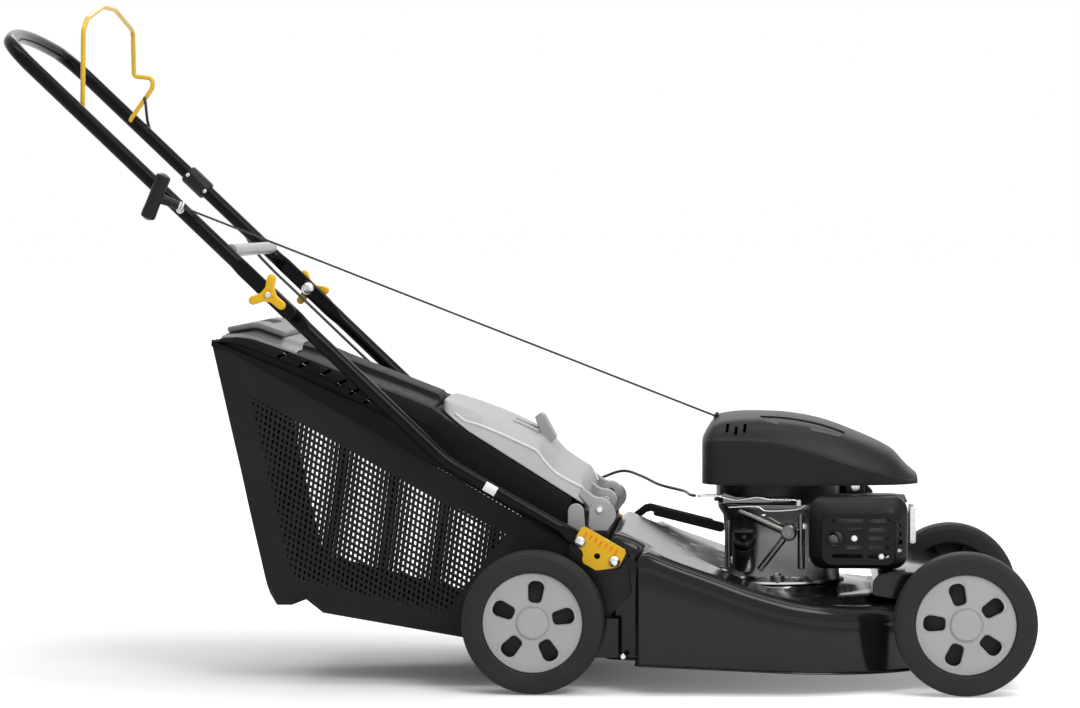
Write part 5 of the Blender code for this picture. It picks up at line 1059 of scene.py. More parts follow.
# %% [markdown]
# ## The cowl
# The engine's cowl is the largest moulding on the machine: an arched shell with a crease at the shoulder, a
# crescent hollow with louvres, and a nose that runs down over the tank. Its sections come from the model,
# and smooth curves between them give the crown.

# %% Cowl
COWL = [
    (-0.1085, 0.072, 0.34, 0.347), (-0.101, 0.09, 0.346, 0.361), (-0.085, 0.101, 0.3475, 0.378),
    (-0.01, 0.106, 0.3455, 0.382), (0.0505, 0.106, 0.332, 0.3745), (0.099, 0.104, 0.316, 0.359),
    (0.164, 0.092, 0.295, 0.329), (0.186, 0.078, 0.2895, 0.306), (0.201, 0.058, 0.287, 0.293),
]
COWL_LOW = 0.285
CAP_AT = PIVOT["fuel_cap_turn"]
COWL_WALL = [(1.0, 0.0), (1.0, 0.3), (1.0, 0.6), (1.0, 0.84), (0.996, 0.93), (0.986, 0.98)]
COWL_CROWN = [(0.97, 0.0), (0.945, 0.14), (0.915, 0.28), (0.88, 0.42), (0.84, 0.56), (0.78, 0.69), (0.7, 0.8),
              (0.6, 0.885), (0.48, 0.945), (0.34, 0.98), (0.17, 0.996)]
CRESCENT = [(-0.03, 0.3795, 0.001), (0.002, 0.367, 0.02), (0.056, 0.3585, 0.05), (0.091, 0.3515, 0.01),
            (0.099, 0.3565, 0.004), (0.063, 0.369, 0.03), (0.021, 0.379, 0.03)]
LOUVRE = [(-0.002, -0.006, 0.001), (0.0025, -0.006, 0.001), (0.004, 0.006, 0.001), (-0.0005, 0.006, 0.001)]


def cowl_shell(name, inward=0.0):
    """The cowl's outer form, or the same form drawn in."""
    stations = [COWL[0][0]]
    for (a, *_), (b, *_) in zip(COWL, COWL[1:]):
        count = max(2, round((b - a) / 0.006))
        stations += [a + (b - a) * k / count for k in range(1, count + 1)]
    rings = []
    for x in stations:
        half, shoulder, crest = (on_curve([(row[0], row[k]) for row in COWL], x) - inward for k in (1, 2, 3))
        low = COWL_LOW - (0.01 if inward else 0)
        side = [(share, low + (shoulder - low) * rise) for share, rise in COWL_WALL]
        side += [(share, shoulder + (crest - shoulder) * rise) for share, rise in COWL_CROWN]
        ring = [(BLADE + x, -half * share, z) for share, z in side] + [(BLADE + x, 0, crest)]
        ring += [(BLADE + x, half * share, z) for share, z in reversed(side)]
        rings.append(ring)
    return skinned(name, rings)


cowl = cut(cowl_shell("cowl_moulding"), cowl_shell("inside", 0.0025))
hollow = slab("crescent", rounded(placed(CRESCENT, BLADE), 6), -0.14, -0.058)
cut(cowl, cut(hollow, cowl_shell("skin_below", 0.002)))
for x, z in ((-0.073, 0.363), (-0.0605, 0.3595), (-0.048, 0.363)):
    cut(cowl, slab("louvre", rounded(placed(LOUVRE, BLADE + x, z), 3), -0.14, -0.07))
well = rod("well", (CAP_AT.x, CAP_AT.y, CAP_AT.z - 0.03), (CAP_AT.x, CAP_AT.y, CAP_AT.z + 0.05), 0.0245, 64)
bush = rod("bush", ENTRY + ROPE_WAY * 0.02, ENTRY - ROPE_WAY * 0.03, 0.0042, 32)
cut(cowl, well, bush)
settle(cowl, COWL_PLASTIC, "engine_cowl", 32, (0.0006, 2, 40))
bush = [(0.0024, -0.002), (0.0062, -0.002), (0.007, 0.0), (0.0062, 0.0018), (0.004, 0.0022), (0.0024, 0.001)]
lathe("rope_bush", bush, ENTRY, ROPE_WAY, 40, GLOSS_PLASTIC, body="chassis", slot="satin_black", around=True)
print("cowl made of", len(cowl.data.polygons), "faces")

# %% [markdown]
# ## The grass catcher
# The bag is black woven fabric on a hidden wire frame. It hangs between the rim of the moulded lid and its
# own floor, and between the wires it sags. It is lofted from pairs of points along the rim and the floor,
# and the spans between them are pushed in and out by a few millimetres.

# %% Bag
BAG_Y = 0.158
RIM = [(-0.4605, 0.4812), (-0.43, 0.472), (-0.1145, 0.296), (0.0497, 0.2003)]
BAG_PAIRS = [
    ((-0.46, 0.4815), (-0.3815, 0.13)), ((-0.43, 0.472), (-0.3715, 0.113)), ((-0.405, 0.458), (-0.35, 0.113)),
    ((-0.38, 0.444), (-0.3295, 0.121)), ((-0.35, 0.4275), (-0.3055, 0.102)),
    ((-0.15, 0.3158), (-0.1295, 0.072)), ((-0.11, 0.2935), (-0.0945, 0.066)),
    ((-0.05, 0.2583), (-0.0345, 0.066)), ((-0.03, 0.2467), (-0.0345, 0.127)),
    ((0.0497, 0.2), (0.0497, 0.127)),
]


def bag_section(share):
    """The rim's and the floor's place at a share of the bag's length."""
    spot = share * (len(BAG_PAIRS) - 1)
    k = min(int(spot), len(BAG_PAIRS) - 2)
    t = spot - k
    return [Vector([p + (q - p) * t for p, q in zip(a, b)]) for a, b in zip(BAG_PAIRS[k], BAG_PAIRS[k + 1])]


def bag_shares():
    """Even steps along the bag: more where its spans are long."""
    shares = []
    for k, ((_, f0), (_, f1)) in enumerate(zip(BAG_PAIRS, BAG_PAIRS[1:])):
        span = hypot(f1[0] - f0[0], f1[1] - f0[1])
        count = max(3, round(span / 0.008))
        shares += [(k + j / count) / (len(BAG_PAIRS) - 1) for j in range(count)]
    return shares + [1.0]


def sagging(x, v, along):
    """How far the side wall stands in or out of its plane."""
    pull = sin(pi * v)
    broad = 0.004 * pull * sin(pi * along)
    folds = 0.0012 * pull * sin(38 * x + 5.0 * v) + 0.0007 * pull * sin(95 * x + 11 * v + 1.3)
    return broad + folds


def make_bag():
    """The sides and the floor as loops along the bag, and the rear as rows between the two sides."""
    shape = bmesh.new()
    down, across = 34, 40
    loops = []
    for share in bag_shares():
        rim, base = bag_section(share)
        walls = []
        for side in (-1, 1):
            wall = []
            for k in range(down + 1):
                v = k / down
                spot = rim.lerp(base, v)
                corner = 0.01 * max(0.0, (v - 0.93) / 0.07) ** 2
                y = BAG_Y - 0.0015 - corner + sagging(spot.x, v, share) * (1 - max(0.0, (v - 0.9) / 0.1))
                wall.append((spot.x, side * y, spot.y))
            walls.append(wall)
        under = []
        for k in range(1, across):
            t = -1 + 2 * k / across
            sag = 0.003 * (1 - t * t) * sin(pi * min(1, share * 2))
            under.append((base.x, t * (BAG_Y - 0.0115), base.y - sag * 0.5 + 0.0015))
        points = [*walls[0], *under, *reversed(walls[1])]
        loops.append([shape.verts.new((REAR + x, y, z)) for x, y, z in points])
    rear = loops[0]
    rows = []
    for k in range(down):
        v = k / down
        right, left = rear[k], rear[-1 - k]
        row = [right]
        for j in range(1, across):
            t = j / across
            bulge = (0.006 * sin(pi * t) + 0.0015 * sin(9 * t + 7 * v)) * sin(pi * v)
            row.append(shape.verts.new(right.co.lerp(left.co, t) + Vector((-0.97, 0, -0.21)) * bulge))
        rows.append([*row, left])
    rows.append(rear[down:down + across + 1])
    for grid in (loops, rows):
        for a, b in zip(grid, grid[1:]):
            for k in range(len(a) - 1):
                shape.faces.new((a[k], a[k + 1], b[k + 1], b[k]))
    return from_shape("bag_fabric", shape)


bag = make_bag()
print("bag made of", len(bag.data.polygons), "faces")

# %% [markdown]
# The bag's fabric is a coarse woven mesh inside a solid border. Seen against the light, its holes glow. A
# regular grid of round holes, rows along the rim and columns upright, is cut by the alpha. The weave is a
# fine bump.

# %% Bag fabric
COLUMN_PITCH, COLUMN_LEAN = 0.00693, -0.134
ROW_PITCH, ROW_LEAN = 0.00948, 0.566
NET_CLOSER, NET_SHIFT, ROW_WIDER = 0.02, 0.002, 0.065
THREAD = 0.0009
NET_DARK, NET_LIGHT = (0.004, 0.004, 0.0041, 1), (0.0125, 0.0122, 0.0119, 1)


def bag_material():
    """A net of holes inside a solid border. The net of the left side has its own pitch and place."""
    material = bpy.data.materials.new("bag_fabric")
    material.use_nodes = True
    tree = material.node_tree
    axes = make(tree, "SeparateXYZ", {0: local(tree)}).outputs
    x, y, z = operate(tree, "SUBTRACT", axes["X"], REAR), axes["Y"], axes["Z"]

    def times(a, b):
        return operate(tree, "MULTIPLY", a, b)

    def slanted(slope, value, other):
        return operate(tree, "ADD", value, times(other, slope))

    def wave(value, pitch):
        return operate(tree, "SINE", times(value, tau / pitch))

    left = spread(tree, y, -0.01, 0.01)
    closer = operate(tree, "ADD", 1.0, times(left, NET_CLOSER))
    column = operate(tree, "ADD", times(slanted(COLUMN_LEAN, x, z), closer), times(left, NET_SHIFT))
    row = times(slanted(ROW_LEAN, z, x), operate(tree, "SUBTRACT", 1.0, times(left, ROW_WIDER)))
    holes = times(spread(tree, wave(column, COLUMN_PITCH), 0.06, 0.34),
                  spread(tree, wave(row, ROW_PITCH), -0.34, -0.06))
    inside = spread(tree, operate(tree, "ABSOLUTE", y), 0.144, 0.1445)
    for slope, value, other, lo, hi in ((0.538, z, x, 0.1928, 0.1922), (0.231, x, z, -0.3126, -0.312),
                                        (0.2456, z, x, 0.0688, 0.0694), (-0.763, x, z, -0.209, -0.2096)):
        inside = times(inside, spread(tree, slanted(slope, value, other), lo, hi))
    threads = times(wave(x, THREAD), wave(row, THREAD))
    cloudy = make(tree, "Group", {"Grain Scale": 500.0, "Pits": 0.4}, node_tree=skin).outputs["Tone"]
    share = operate(tree, "MULTIPLY", operate(tree, "ADD", threads, cloudy), 0.5, True)
    feed(tree.nodes["Principled BSDF"], {
        "Alpha": operate(tree, "SUBTRACT", 1.0, times(holes, inside), True),
        "Base Color": mixed(tree, share, NET_DARK, NET_LIGHT),
        "Normal": make(tree, "Bump", {"Distance": 0.00015, "Height": threads}).outputs["Normal"],
        "Roughness": 0.72, "Specular IOR Level": 0.25, "Sheen Weight": 0.06, "Sheen Roughness": 0.4,
    })
    return material


settle(bag, bag_material(), "catcher_bag", 50)

# %% [markdown]
# ## The catcher's lid and the flap
# Both are thin mouldings, so each is a shell: cross-sections follow each other along the machine, the skin
# between them gets its thickness afterwards, and the slots are cut last. The lid has a raised crown, a lit
# shoulder, a wall that leans in under it, and a lip along the rim.

# %% Shells from sections
def along(table, x):
    """A row of numbers read from a table of stations."""
    if x <= table[0][0]:
        return table[0][1:]
    for a, b in zip(table, table[1:]):
        if x <= b[0]:
            t = (x - a[0]) / (b[0] - a[0])
            return [p + (q - p) * t for p, q in zip(a[1:], b[1:])]
    return table[-1][1:]


def shell(name, sections, thick):
    """Half sections of (half width, height) mirrored and joined along x, as a skin with a thickness."""
    rings = []
    for x, half in sections:
        rings.append([(x, -w, z) for w, z in half] + [(x, w, z) for w, z in reversed(half[:-1])])
    obj = skinned(name, rings, closed=False)
    shape = bmesh.new()
    shape.from_mesh(obj.data)
    bmesh.ops.remove_doubles(shape, verts=shape.verts, dist=1e-5)
    bmesh.ops.recalc_face_normals(shape, faces=shape.faces)
    highest = max(shape.faces, key=lambda face: face.calc_center_median().z)
    if highest.normal.z < 0:
        bmesh.ops.reverse_faces(shape, faces=shape.faces)
    shape.to_mesh(obj.data)
    shape.free()
    return applied(modified(obj, "SOLIDIFY", thickness=thick, offset=-1, use_even_offset=False))


print("shell maker ready")

# %% Lid
LID_TOP = [(-0.4605, 0.489), (-0.4455, 0.4995), (-0.4045, 0.5055), (-0.38, 0.4975), (-0.3085, 0.4715),
           (-0.15, 0.4105)]
LID_SHOULDER = [(-0.4605, 0.4878), (-0.4455, 0.4945), (-0.425, 0.4955), (-0.4045, 0.493), (-0.3938, 0.4895),
                (-0.3204, 0.464), (-0.2887, 0.4515), (-0.2314, 0.429), (-0.1811, 0.4105), (-0.15, 0.3975)]
LID_STEP = [(-0.4605, 0.4892), (-0.4418, 0.4815), (-0.3434, 0.44), (-0.2293, 0.388), (-0.15, 0.34)]
LID_CROWN = [(-0.4605, 0.11), (-0.37, 0.108), (-0.32, 0.06), (-0.29, 0.046), (-0.1455, 0.046)]
LID_TABLES = (LID_TOP, LID_SHOULDER, LID_STEP, LID_CROWN)


def rim_height(x):
    """The rim's height at a place along the bag."""
    return along(RIM, x)[0]


def throat_top(x):
    """The height that the lid's throat keeps under the flap."""
    return HINGE.z + 0.0075 + 0.105 * (0.0645 - x) / 0.167


def lid_section(x):
    """From the rim up the leaning wall, over the lit shoulder and up to the crown."""
    top, shoulder, step, crown = (along(table, x)[0] for table in LID_TABLES)
    rim = rim_height(x)
    step = max(step, rim + 0.0006)
    shoulder = max(shoulder, step + 0.0004)
    tall = shoulder - step
    return [(0.1575, rim + 0.0004), (0.1575, step - 0.0002), (0.1545, step + 0.05 * tall),
            (0.151, step + 0.08 * tall), (0.1528, step + 0.4 * tall), (0.156, step + 0.5 * tall),
            (0.1535, step + 0.78 * tall), (0.149, step + 0.94 * tall), (0.142, shoulder),
            (0.12, shoulder + 0.0008), (crown + 0.012, shoulder + 0.0012),
            (crown + 0.003, shoulder + 0.35 * (top - shoulder)), (crown, top - 0.0022),
            (crown - 0.008, top - 0.0004), (crown * 0.5, top), (0.0, top)]


def folded(section):
    """A section pressed down to the height of its edge, which closes the end of a shell."""
    x, half = section
    return x, [(w, min(z, half[0][1])) for w, z in half]


stations = [-0.4605 + 0.0025 * k for k in range(7)] + [-0.443 + 0.0085 * k for k in range(34)] + [-0.1505]
sections = [(REAR + x, lid_section(x)) for x in sorted(stations)]
sections.insert(0, folded(sections[0]))
front = lid_section(-0.1505)
for k in range(1, 5):
    share = k / 4
    throat = throat_top(-0.1465)
    lowered = [(w, z - max(0.0, z - throat) * share**1.5) for w, z in front]
    sections.append((REAR - 0.1505 + 0.004 * share, lowered))
APRON_WIDTHS = [0.1575, 0.1575, 0.156, 0.1555, 0.1555, 0.1555, 0.1555, 0.155, 0.153, 0.12, 0.1, 0.09, 0.08,
                0.06, 0.03, 0.0]
APRON_SHARES = [0, 0.04, 0.08, 0.2, 0.4, 0.6, 0.8, 0.94] + [1] * 8
for x in (-0.13, -0.09, -0.05, 0.0, 0.03, 0.0495):
    low_edge, high_edge = rim_height(x) + 0.0004, throat_top(x) - 0.0008
    half = [(w, low_edge + (high_edge - low_edge) * s) for w, s in zip(APRON_WIDTHS, APRON_SHARES)]
    sections.append((REAR + x, half))
lid = shell("lid_shell", sections, 0.0022)
SLOTS = [(-0.3604, 0.47), (-0.3302, 0.456), (-0.3, 0.4444), (-0.2778, 0.4303), (-0.2588, 0.4177),
         (-0.2382, 0.405)]
for x, z in SLOTS:
    outline = tilted(boxed((-0.0085, -0.0022), (0.0085, 0.0022)), REAR + x, z, radians(27))
    cut(lid, *[slab("slot", outline, side * 0.14, side * 0.165) for side in (-1, 1)])
for side in (-1, 1):
    cut(lid, rod("eye", *[(REAR - 0.194, side * 0.1, z) for z in (0.43, 0.405)], 0.0035, 16))
settle(lid, LID_BLACK, "catcher_lid", 32, (0.0005, 1, 40))
skirt = []
for k in range(15):
    x = -0.449 + 0.0077 * k
    top, shoulder, crown = (along(table, x)[0] for table in (LID_TOP, LID_SHOULDER, LID_CROWN))
    half = [(0.149, shoulder - 0.0006), (0.144, shoulder + 0.0022), (0.135, shoulder + 0.0034),
            (crown + 0.015, shoulder + 0.0036), (crown + 0.005, top - 0.003), (crown, top + 0.0006),
            (crown * 0.5, top + 0.0016), (0.0, top + 0.0018)]
    skirt.append((REAR + x, half))
settle(shell("handle_moulding", skirt, 0.0012), LID_GREY, "catcher_handle", 40, (0.0005, 2, 40))
print("lid made of", len(lid.data.polygons), "faces")

# %% Flap
FLAP = [
    (-0.139, 0.084, 0.08, 0.3925, 0.074, 0.3955), (-0.138, 0.094, 0.088, 0.3965, 0.08, 0.4025),
    (-0.132, 0.112, 0.103, 0.3935, 0.088, 0.4018), (-0.118, 0.136, 0.122, 0.384, 0.097, 0.3968),
    (-0.1046, 0.15, 0.136, 0.3755, 0.104, 0.3922), (-0.0982, 0.1535, 0.14, 0.3735, 0.105, 0.3898),
    (-0.0874, 0.1545, 0.141, 0.371, 0.105, 0.3857), (-0.062, 0.1545, 0.1415, 0.3615, 0.105, 0.3762),
    (-0.0257, 0.1545, 0.1415, 0.3452, 0.105, 0.3598), (-0.005, 0.1545, 0.1415, 0.3355, 0.105, 0.349),
    (0.0, 0.1545, 0.1415, 0.3322, 0.105, 0.346), (0.005, 0.1545, 0.1415, 0.3255, 0.105, 0.342),
    (0.0105, 0.1545, 0.1415, 0.318, 0.105, 0.335), (0.02, 0.1545, 0.1415, 0.3075, 0.105, 0.324),
    (0.0286, 0.1545, 0.1415, 0.3005, 0.105, 0.316), (0.04, 0.1545, 0.1415, 0.2935, 0.105, 0.308),
    (0.0504, 0.1545, 0.1415, 0.2878, 0.105, 0.3012), (0.06, 0.1545, 0.141, 0.2832, 0.104, 0.2955),
    (0.064, 0.1535, 0.1395, 0.28, 0.102, 0.2918), (0.0675, 0.15, 0.136, 0.2755, 0.099, 0.286),
    (0.07, 0.145, 0.131, 0.269, 0.095, 0.278),
]


def flap_section(row):
    """Half a section of the flap: its edge, the ridge line and the raised middle."""
    x, base_w, ridge_w, ridge, top_w, top = row
    base = throat_top(x) + 0.0012
    ridge, top = max(ridge, base + 0.002), max(top, base + 0.004)
    return [(base_w, base), (base_w, base + 0.002), (ridge_w, ridge), (top_w + 0.004, top - 0.0012),
            (top_w, top), (top_w * 0.5, top + 0.0014), (0.0, top + 0.0018)]


def round_rows(table, parts=3):
    """More stations along smooth curves through the table's rows."""
    rows = []
    for k in range(len(table) - 1):
        near = [table[min(max(j, 0), len(table) - 1)] for j in range(k - 1, k + 3)]
        for j in range(parts):
            rows.append([between(*column, j / parts) for column in zip(*near)])
    return rows + [list(table[-1])]


rows = round_rows(FLAP)
halves = [(REAR + row[0], flap_section(row)) for row in rows]
flap = shell("flap_shell", [folded(halves[0]), *halves, folded(halves[-1])], 0.0024)
settle(flap, GREY_PLASTIC, "flap", 38, (0.0022, 4, 24))
# A thin pale bead along each ridge line is a painted highlight: it stands for the light that the ridge catches.
for side in (-1, 1):
    line = []
    for x, _, ridge_w, ridge, *_ in rows[9:]:
        line.append(Vector((REAR + x, side * (ridge_w + 0.0002),
                            max(ridge, throat_top(x) + 0.0032) + 0.0004)))
    settle(wire_piece(f"flap_ridge_painted_highlight_{side + 1}", line, 0.0021, 14), RIDGE_HIGHLIGHT_GREY, "flap", 60)
TAB = [(-0.0131, 0.3741, 0.002), (-0.0047, 0.3806, 0.003), (0.001, 0.3765, 0.002), (0.0185, 0.344, 0.004),
       (0.006, 0.333, 0.002), (-0.0045, 0.35, 0.004)]
plank("flap_tab", rounded(placed(TAB, REAR)), -0.017, 0.017, GREY_PLASTIC, "flap", 40, (0.0018, 3, 50))
rear_top, front_top = along(FLAP, -0.045)[4], along(FLAP, -0.006)[4]
STEP_SIDE = [(-0.045, rear_top - 0.002), (-0.006, front_top - 0.002), (-0.006, front_top + 0.0065),
             (-0.042, rear_top + 0.003)]
for name, y in (("flap_bar", -0.04), ("flap_step", 0.012)):
    plank(name, placed(STEP_SIDE, REAR), y, y + 0.028, GREY_PLASTIC, "flap", 40, (0.0014, 3, 40))
KNUCKLE = [(0.0062, -0.0095), (0.015, -0.0095), (0.0162, -0.0085), (0.0162, 0.0085), (0.015, 0.0095),
           (0.0062, 0.0095)]
WEB = [(0.01, 0.0115), (-0.009, 0.018), (-0.024, 0.029), (-0.03, 0.02), (-0.015, 0.002)]
for k, y in enumerate((-0.145, 0.0, 0.145)):
    lathe(f"flap_knuckle_{k}", KNUCKLE, (HINGE.x, y, HINGE.z), (0, 1, 0), 40, GREY_PLASTIC, "flap", 40,
          around=True)
    plank(f"flap_web_{k}", placed(WEB, HINGE.x, HINGE.z), y - 0.0085, y + 0.0085, GREY_PLASTIC, "flap", 40,
          (0.0016, 3, 40))
print("flap made of", len(flap.data.polygons), "faces")

# %% Chute frame and its grey cheeks
chute = cut(carried("rear_chute", SATIN_PLASTIC),
            slab("over", boxed((REAR + 0.02, 0.2225), (REAR + 0.16, 0.3)), -0.2, 0.2))
bevel(chute, 0.001, 2, 40)
CHEEK = [*arc(HINGE.x + 0.0035, HINGE.z - 0.007, 0.0195, range(-50, 171, 13)), (HINGE.x - 0.016, 0.228),
         (HINGE.x - 0.008, 0.2185), (HINGE.x + 0.008, 0.2185)]
LUG = [*arc(REAR + 0.056, 0.249, 0.0115, range(0, 181, 15)), (REAR + 0.044, 0.2185), (REAR + 0.069, 0.2185)]
PIN = [(0.0, 0.0), (0.007, 0.0), (0.007, 0.0006), (0.006, 0.0014), (0.0, 0.0016)]
for side, label in SIDES:
    looks = (GREY_PLASTIC, "rear_chute", 40)
    plank(f"hinge_cheek_{label}", CHEEK, side * 0.1562, side * 0.1598, *looks, (0.0012, 3, 40))
    plank(f"hinge_lug_{label}", LUG, side * 0.1562, side * 0.16, *looks, (0.0014, 3, 40))
    lathe(f"hinge_boss_{label}", PIN, (HINGE.x, side * 0.1597, HINGE.z), (0, side, 0), 32, *looks)
print("chute and cheeks ready")

# %% [markdown]
# ## The engine's castings and its guard
# The case is cast, so its walls bow and its corners are wide. Ribs stand on its side, a polished flange
# carries it, and the oil filler has a lobed cap. The guard over the silencer is folded sheet: wide
# chamfers, a raised face, rows of slots and a ring round the outlet.

# %% Crankcase
OUTWARD = (0, -1, 0)
UPRIGHT = (0, 0, 1)
FLANGE_Z, CASE_TOP = 0.1388, 0.2532
CASE = [(FLANGE_Z + 0.004, 0.084, 0.09, 0.078), (FLANGE_Z + 0.014, 0.079, 0.089, 0.0735),
        (FLANGE_Z + 0.035, 0.077, 0.088, 0.0715), (FLANGE_Z + 0.065, 0.077, 0.088, 0.0715),
        (CASE_TOP - 0.02, 0.079, 0.089, 0.0735), (CASE_TOP - 0.008, 0.086, 0.09, 0.082),
        (CASE_TOP, 0.087, 0.09, 0.083)]
rings = []
for z, back, front, half in CASE:
    corners = [(-back, -half, 0.052), (front, -half, 0.034), (front, half, 0.034), (-back, half, 0.052)]
    rings.append([(x, y, z) for x, y in rounded(placed(corners, BLADE), 10)])
settle(skinned("case_casting", rings), CAST_ALLOY, "crankcase", 40, (0.0016, 3, 40))
RIBS = [((-0.056, 0.244), (0.016, 0.212), 0.0066), ((0.016, 0.212), (-0.026, 0.158), 0.0048),
        ((0.034, 0.244), (0.034, 0.16), 0.0056), ((0.016, 0.212), (0.034, 0.218), 0.004),
        ((-0.03, 0.244), (0.004, 0.224), 0.0028), ((-0.07, 0.23), (-0.07, 0.162), 0.003)]
RIB_Y = -0.07
for k, ((x0, z0), (x1, z1), radius) in enumerate(RIBS):
    rib = rod(f"rib_{k}", (BLADE + x0, RIB_Y, z0), (BLADE + x1, RIB_Y - 0.0005, z1), radius, 20)
    for vert in rib.data.vertices:
        if vert.co.y < RIB_Y:
            vert.co.y = RIB_Y + (vert.co.y - RIB_Y) * 1.4
    settle(rib, CAST_ALLOY, "crankcase", 50)
BOSS = [(0.0, 0.0), (0.0115, 0.0), (0.0115, 0.0125), (0.0095, 0.014), (0.005, 0.014), (0.0045, 0.012),
        (0.0, 0.012)]
lathe("case_boss", BOSS, (BLADE + 0.016, -0.069, 0.212), OUTWARD, 40, CAST_ALLOY, "crankcase", 40)
FLANGE = [(0.042, 0.0), (0.0965, 0.0), (0.0975, 0.0012), (0.097, 0.004), (0.09, 0.0068), (0.086, 0.0105),
          (0.042, 0.0105)]
lathe("case_flange", FLANGE, (BLADE, 0, FLANGE_Z), UPRIGHT, 96, BRIGHT_ALLOY, "crankcase", around=True)
PAD = [(0.0, 0.0), (0.011, 0.0), (0.0105, 0.0085), (0.0095, 0.0095), (0.0, 0.0095)]
HEX = [(0.0, 0.0), (0.0056, 0.0), (0.0056, 0.0035), (0.0048, 0.0042), (0.0, 0.0042)]
for k, (x, y) in enumerate(arc(BLADE, 0, 0.0865, range(-150, 151, 60))):
    lathe(f"flange_pad_{k}", PAD, (x, y, FLANGE_Z + 0.003), UPRIGHT, 28, CAST_ALLOY, "crankcase", 40)
    lathe(f"flange_bolt_{k}", HEX, (x, y, FLANGE_Z + 0.003 + 0.0094), UPRIGHT, 6, ZINC, "crankcase", 30)
way = Vector((0, -cos(radians(52)), sin(radians(52))))
foot = Vector((BLADE - 0.048, -0.082, 0.182))
NECK = [(0.01, -0.02), (0.0168, -0.02), (0.0168, 0.018), (0.0158, 0.0205), (0.01, 0.0205)]
lathe("filler_neck", NECK, foot, way, 48, CAST_ALLOY, "crankcase", 40, around=True)
WASHER = [(0.0, 0.0), (0.0062, 0.0), (0.0062, 0.0014), (0.0044, 0.0015), (0.0044, 0.005), (0.0036, 0.0058),
          (0.0, 0.0058)]
CASE_BOLTS = [(0.036, -0.0715, 0.2215), (-0.02, -0.0715, 0.24), (-0.062, -0.069, 0.172),
              (0.052, -0.0715, 0.176)]
for k, (x, y, z) in enumerate(CASE_BOLTS):
    lathe(f"case_bolt_{k}", WASHER, (BLADE + x, y, z), OUTWARD, 24, ZINC, "crankcase", 30)
print("crankcase with", len(RIBS), "ribs")

# %% Oil filler cap
lobes = []
for depth, size in ((0.0, 0.015), (0.0015, 0.0165), (0.0085, 0.0165), (0.0105, 0.015)):
    ring = []
    for angle in [tau * k / 90 for k in range(90)]:
        radius = size + 0.0014 * cos(5 * angle)
        ring.append((radius * cos(angle), radius * sin(angle), depth))
    lobes.append(ring)
cap = skinned("filler_cap", lobes)
for length, wide, height in ((0.0135, 0.0036, 0.023), (0.0036, 0.011, 0.018)):
    outline = boxed((-length, -wide), (length, wide), 0.003)
    wing = skinned("wing", [[(x, y, z) for x, y in outline] for z in (0.0095, height)])
    cap = joined(cap, applied(bevel(wing, 0.0012, 2, 40)))
turn = Vector(UPRIGHT).rotation_difference(way).to_matrix().to_4x4()
cap.data.transform(Matrix.Translation(foot + way * 0.0232) @ turn)
settle(cap, SATIN_PLASTIC, "dipstick")
print("oil filler cap ready")

# %% Silencer guard
GUARD_CORNERS = [((BLADE + 0.0445, 0.169), (BLADE + 0.061, 0.1755)),
                 ((BLADE + 0.1835, 0.2705), (BLADE + 0.168, 0.251))]
GUARD_STEPS = [(0.0, -0.15, 0.02), (0.1, -0.1535, 0.02), (0.92, -0.1655, 0.017), (1.0, -0.1665, 0.016),
               (1.04, -0.169, 0.015), (1.08, -0.1712, 0.014), (1.16, -0.1718, 0.013)]


def guard_skin(name, inward, back):
    """The guard's outer form from its open back to its raised face, or the same form drawn in."""
    loops = []
    steps = [(0.0, back, 0.02)]
    steps += [(share, y + inward, radius) for share, y, radius in GUARD_STEPS]
    for share, y, radius in steps:
        (x0, z0), (x1, z1) = ([p + (q - p) * share for p, q in zip(a, b)] for a, b in GUARD_CORNERS)
        outline = boxed((x0 + inward, z0 + inward), (x1 - inward, z1 - inward), radius, 7)
        loops.append([(x, y, z) for x, z in outline])
    return skinned(name, loops)


guard = cut(guard_skin("guard_sheet", 0.0, -0.1165), guard_skin("inside", 0.0022, -0.11))
for row, z in enumerate((0.2385, 0.2262, 0.214, 0.2013, 0.189)):
    near = [(0.077, 0.12)] if row in (0, 4) else [(0.0975, 0.12)] if row != 2 else []
    for x0, x1 in (*near, (0.1275, 0.157)):
        cut(guard, slab("slot", boxed((BLADE + x0, z - 0.0028), (BLADE + x1, z + 0.0028), 0.0024, 3),
                        -0.15, -0.18))
for z in (0.1965, 0.208, 0.2195, 0.231):
    cut(guard, slab("slot", boxed((BLADE + 0.169, z - 0.003), (BLADE + 0.176, z + 0.003), 0.0015, 3),
                    -0.14, -0.18))
cut(guard, rod("outlet_hole", *[(BLADE + 0.082, y, 0.214) for y in (-0.15, -0.18)], 0.0098, 40))
settle(guard, HEAT_GREY, "muffler_guard", 30, (0.0006, 2, 35))
COLLAR = [(0.0096, -0.003), (0.0135, -0.003), (0.014, 0.0), (0.013, 0.0016), (0.011, 0.0018), (0.0098, 0.001)]
lathe("outlet_ring", COLLAR, (BLADE + 0.082, -0.1716, 0.214), OUTWARD, 56, HEAT_GREY, "muffler_guard",
      around=True)
HEAD = [(0.0, 0.0), (0.0042, 0.0), (0.0042, 0.001), (0.0031, 0.0012), (0.0031, 0.0034), (0.0025, 0.004),
        (0.0, 0.004)]
for k, (x, z, sides) in enumerate(((0.108, 0.214, 24), (0.146, 0.1885, 6))):
    lathe(f"guard_bolt_{k}", HEAD, (BLADE + x, -0.1714, z), OUTWARD, sides, ZINC, "muffler_guard", 30)
plank("head_plate", boxed((BLADE + 0.1875, 0.2), (BLADE + 0.1965, 0.2525), 0.003), -0.108, -0.048, ZINC,
      edge=(0.0012, 3, 40), body="chassis", slot="zinc_steel")
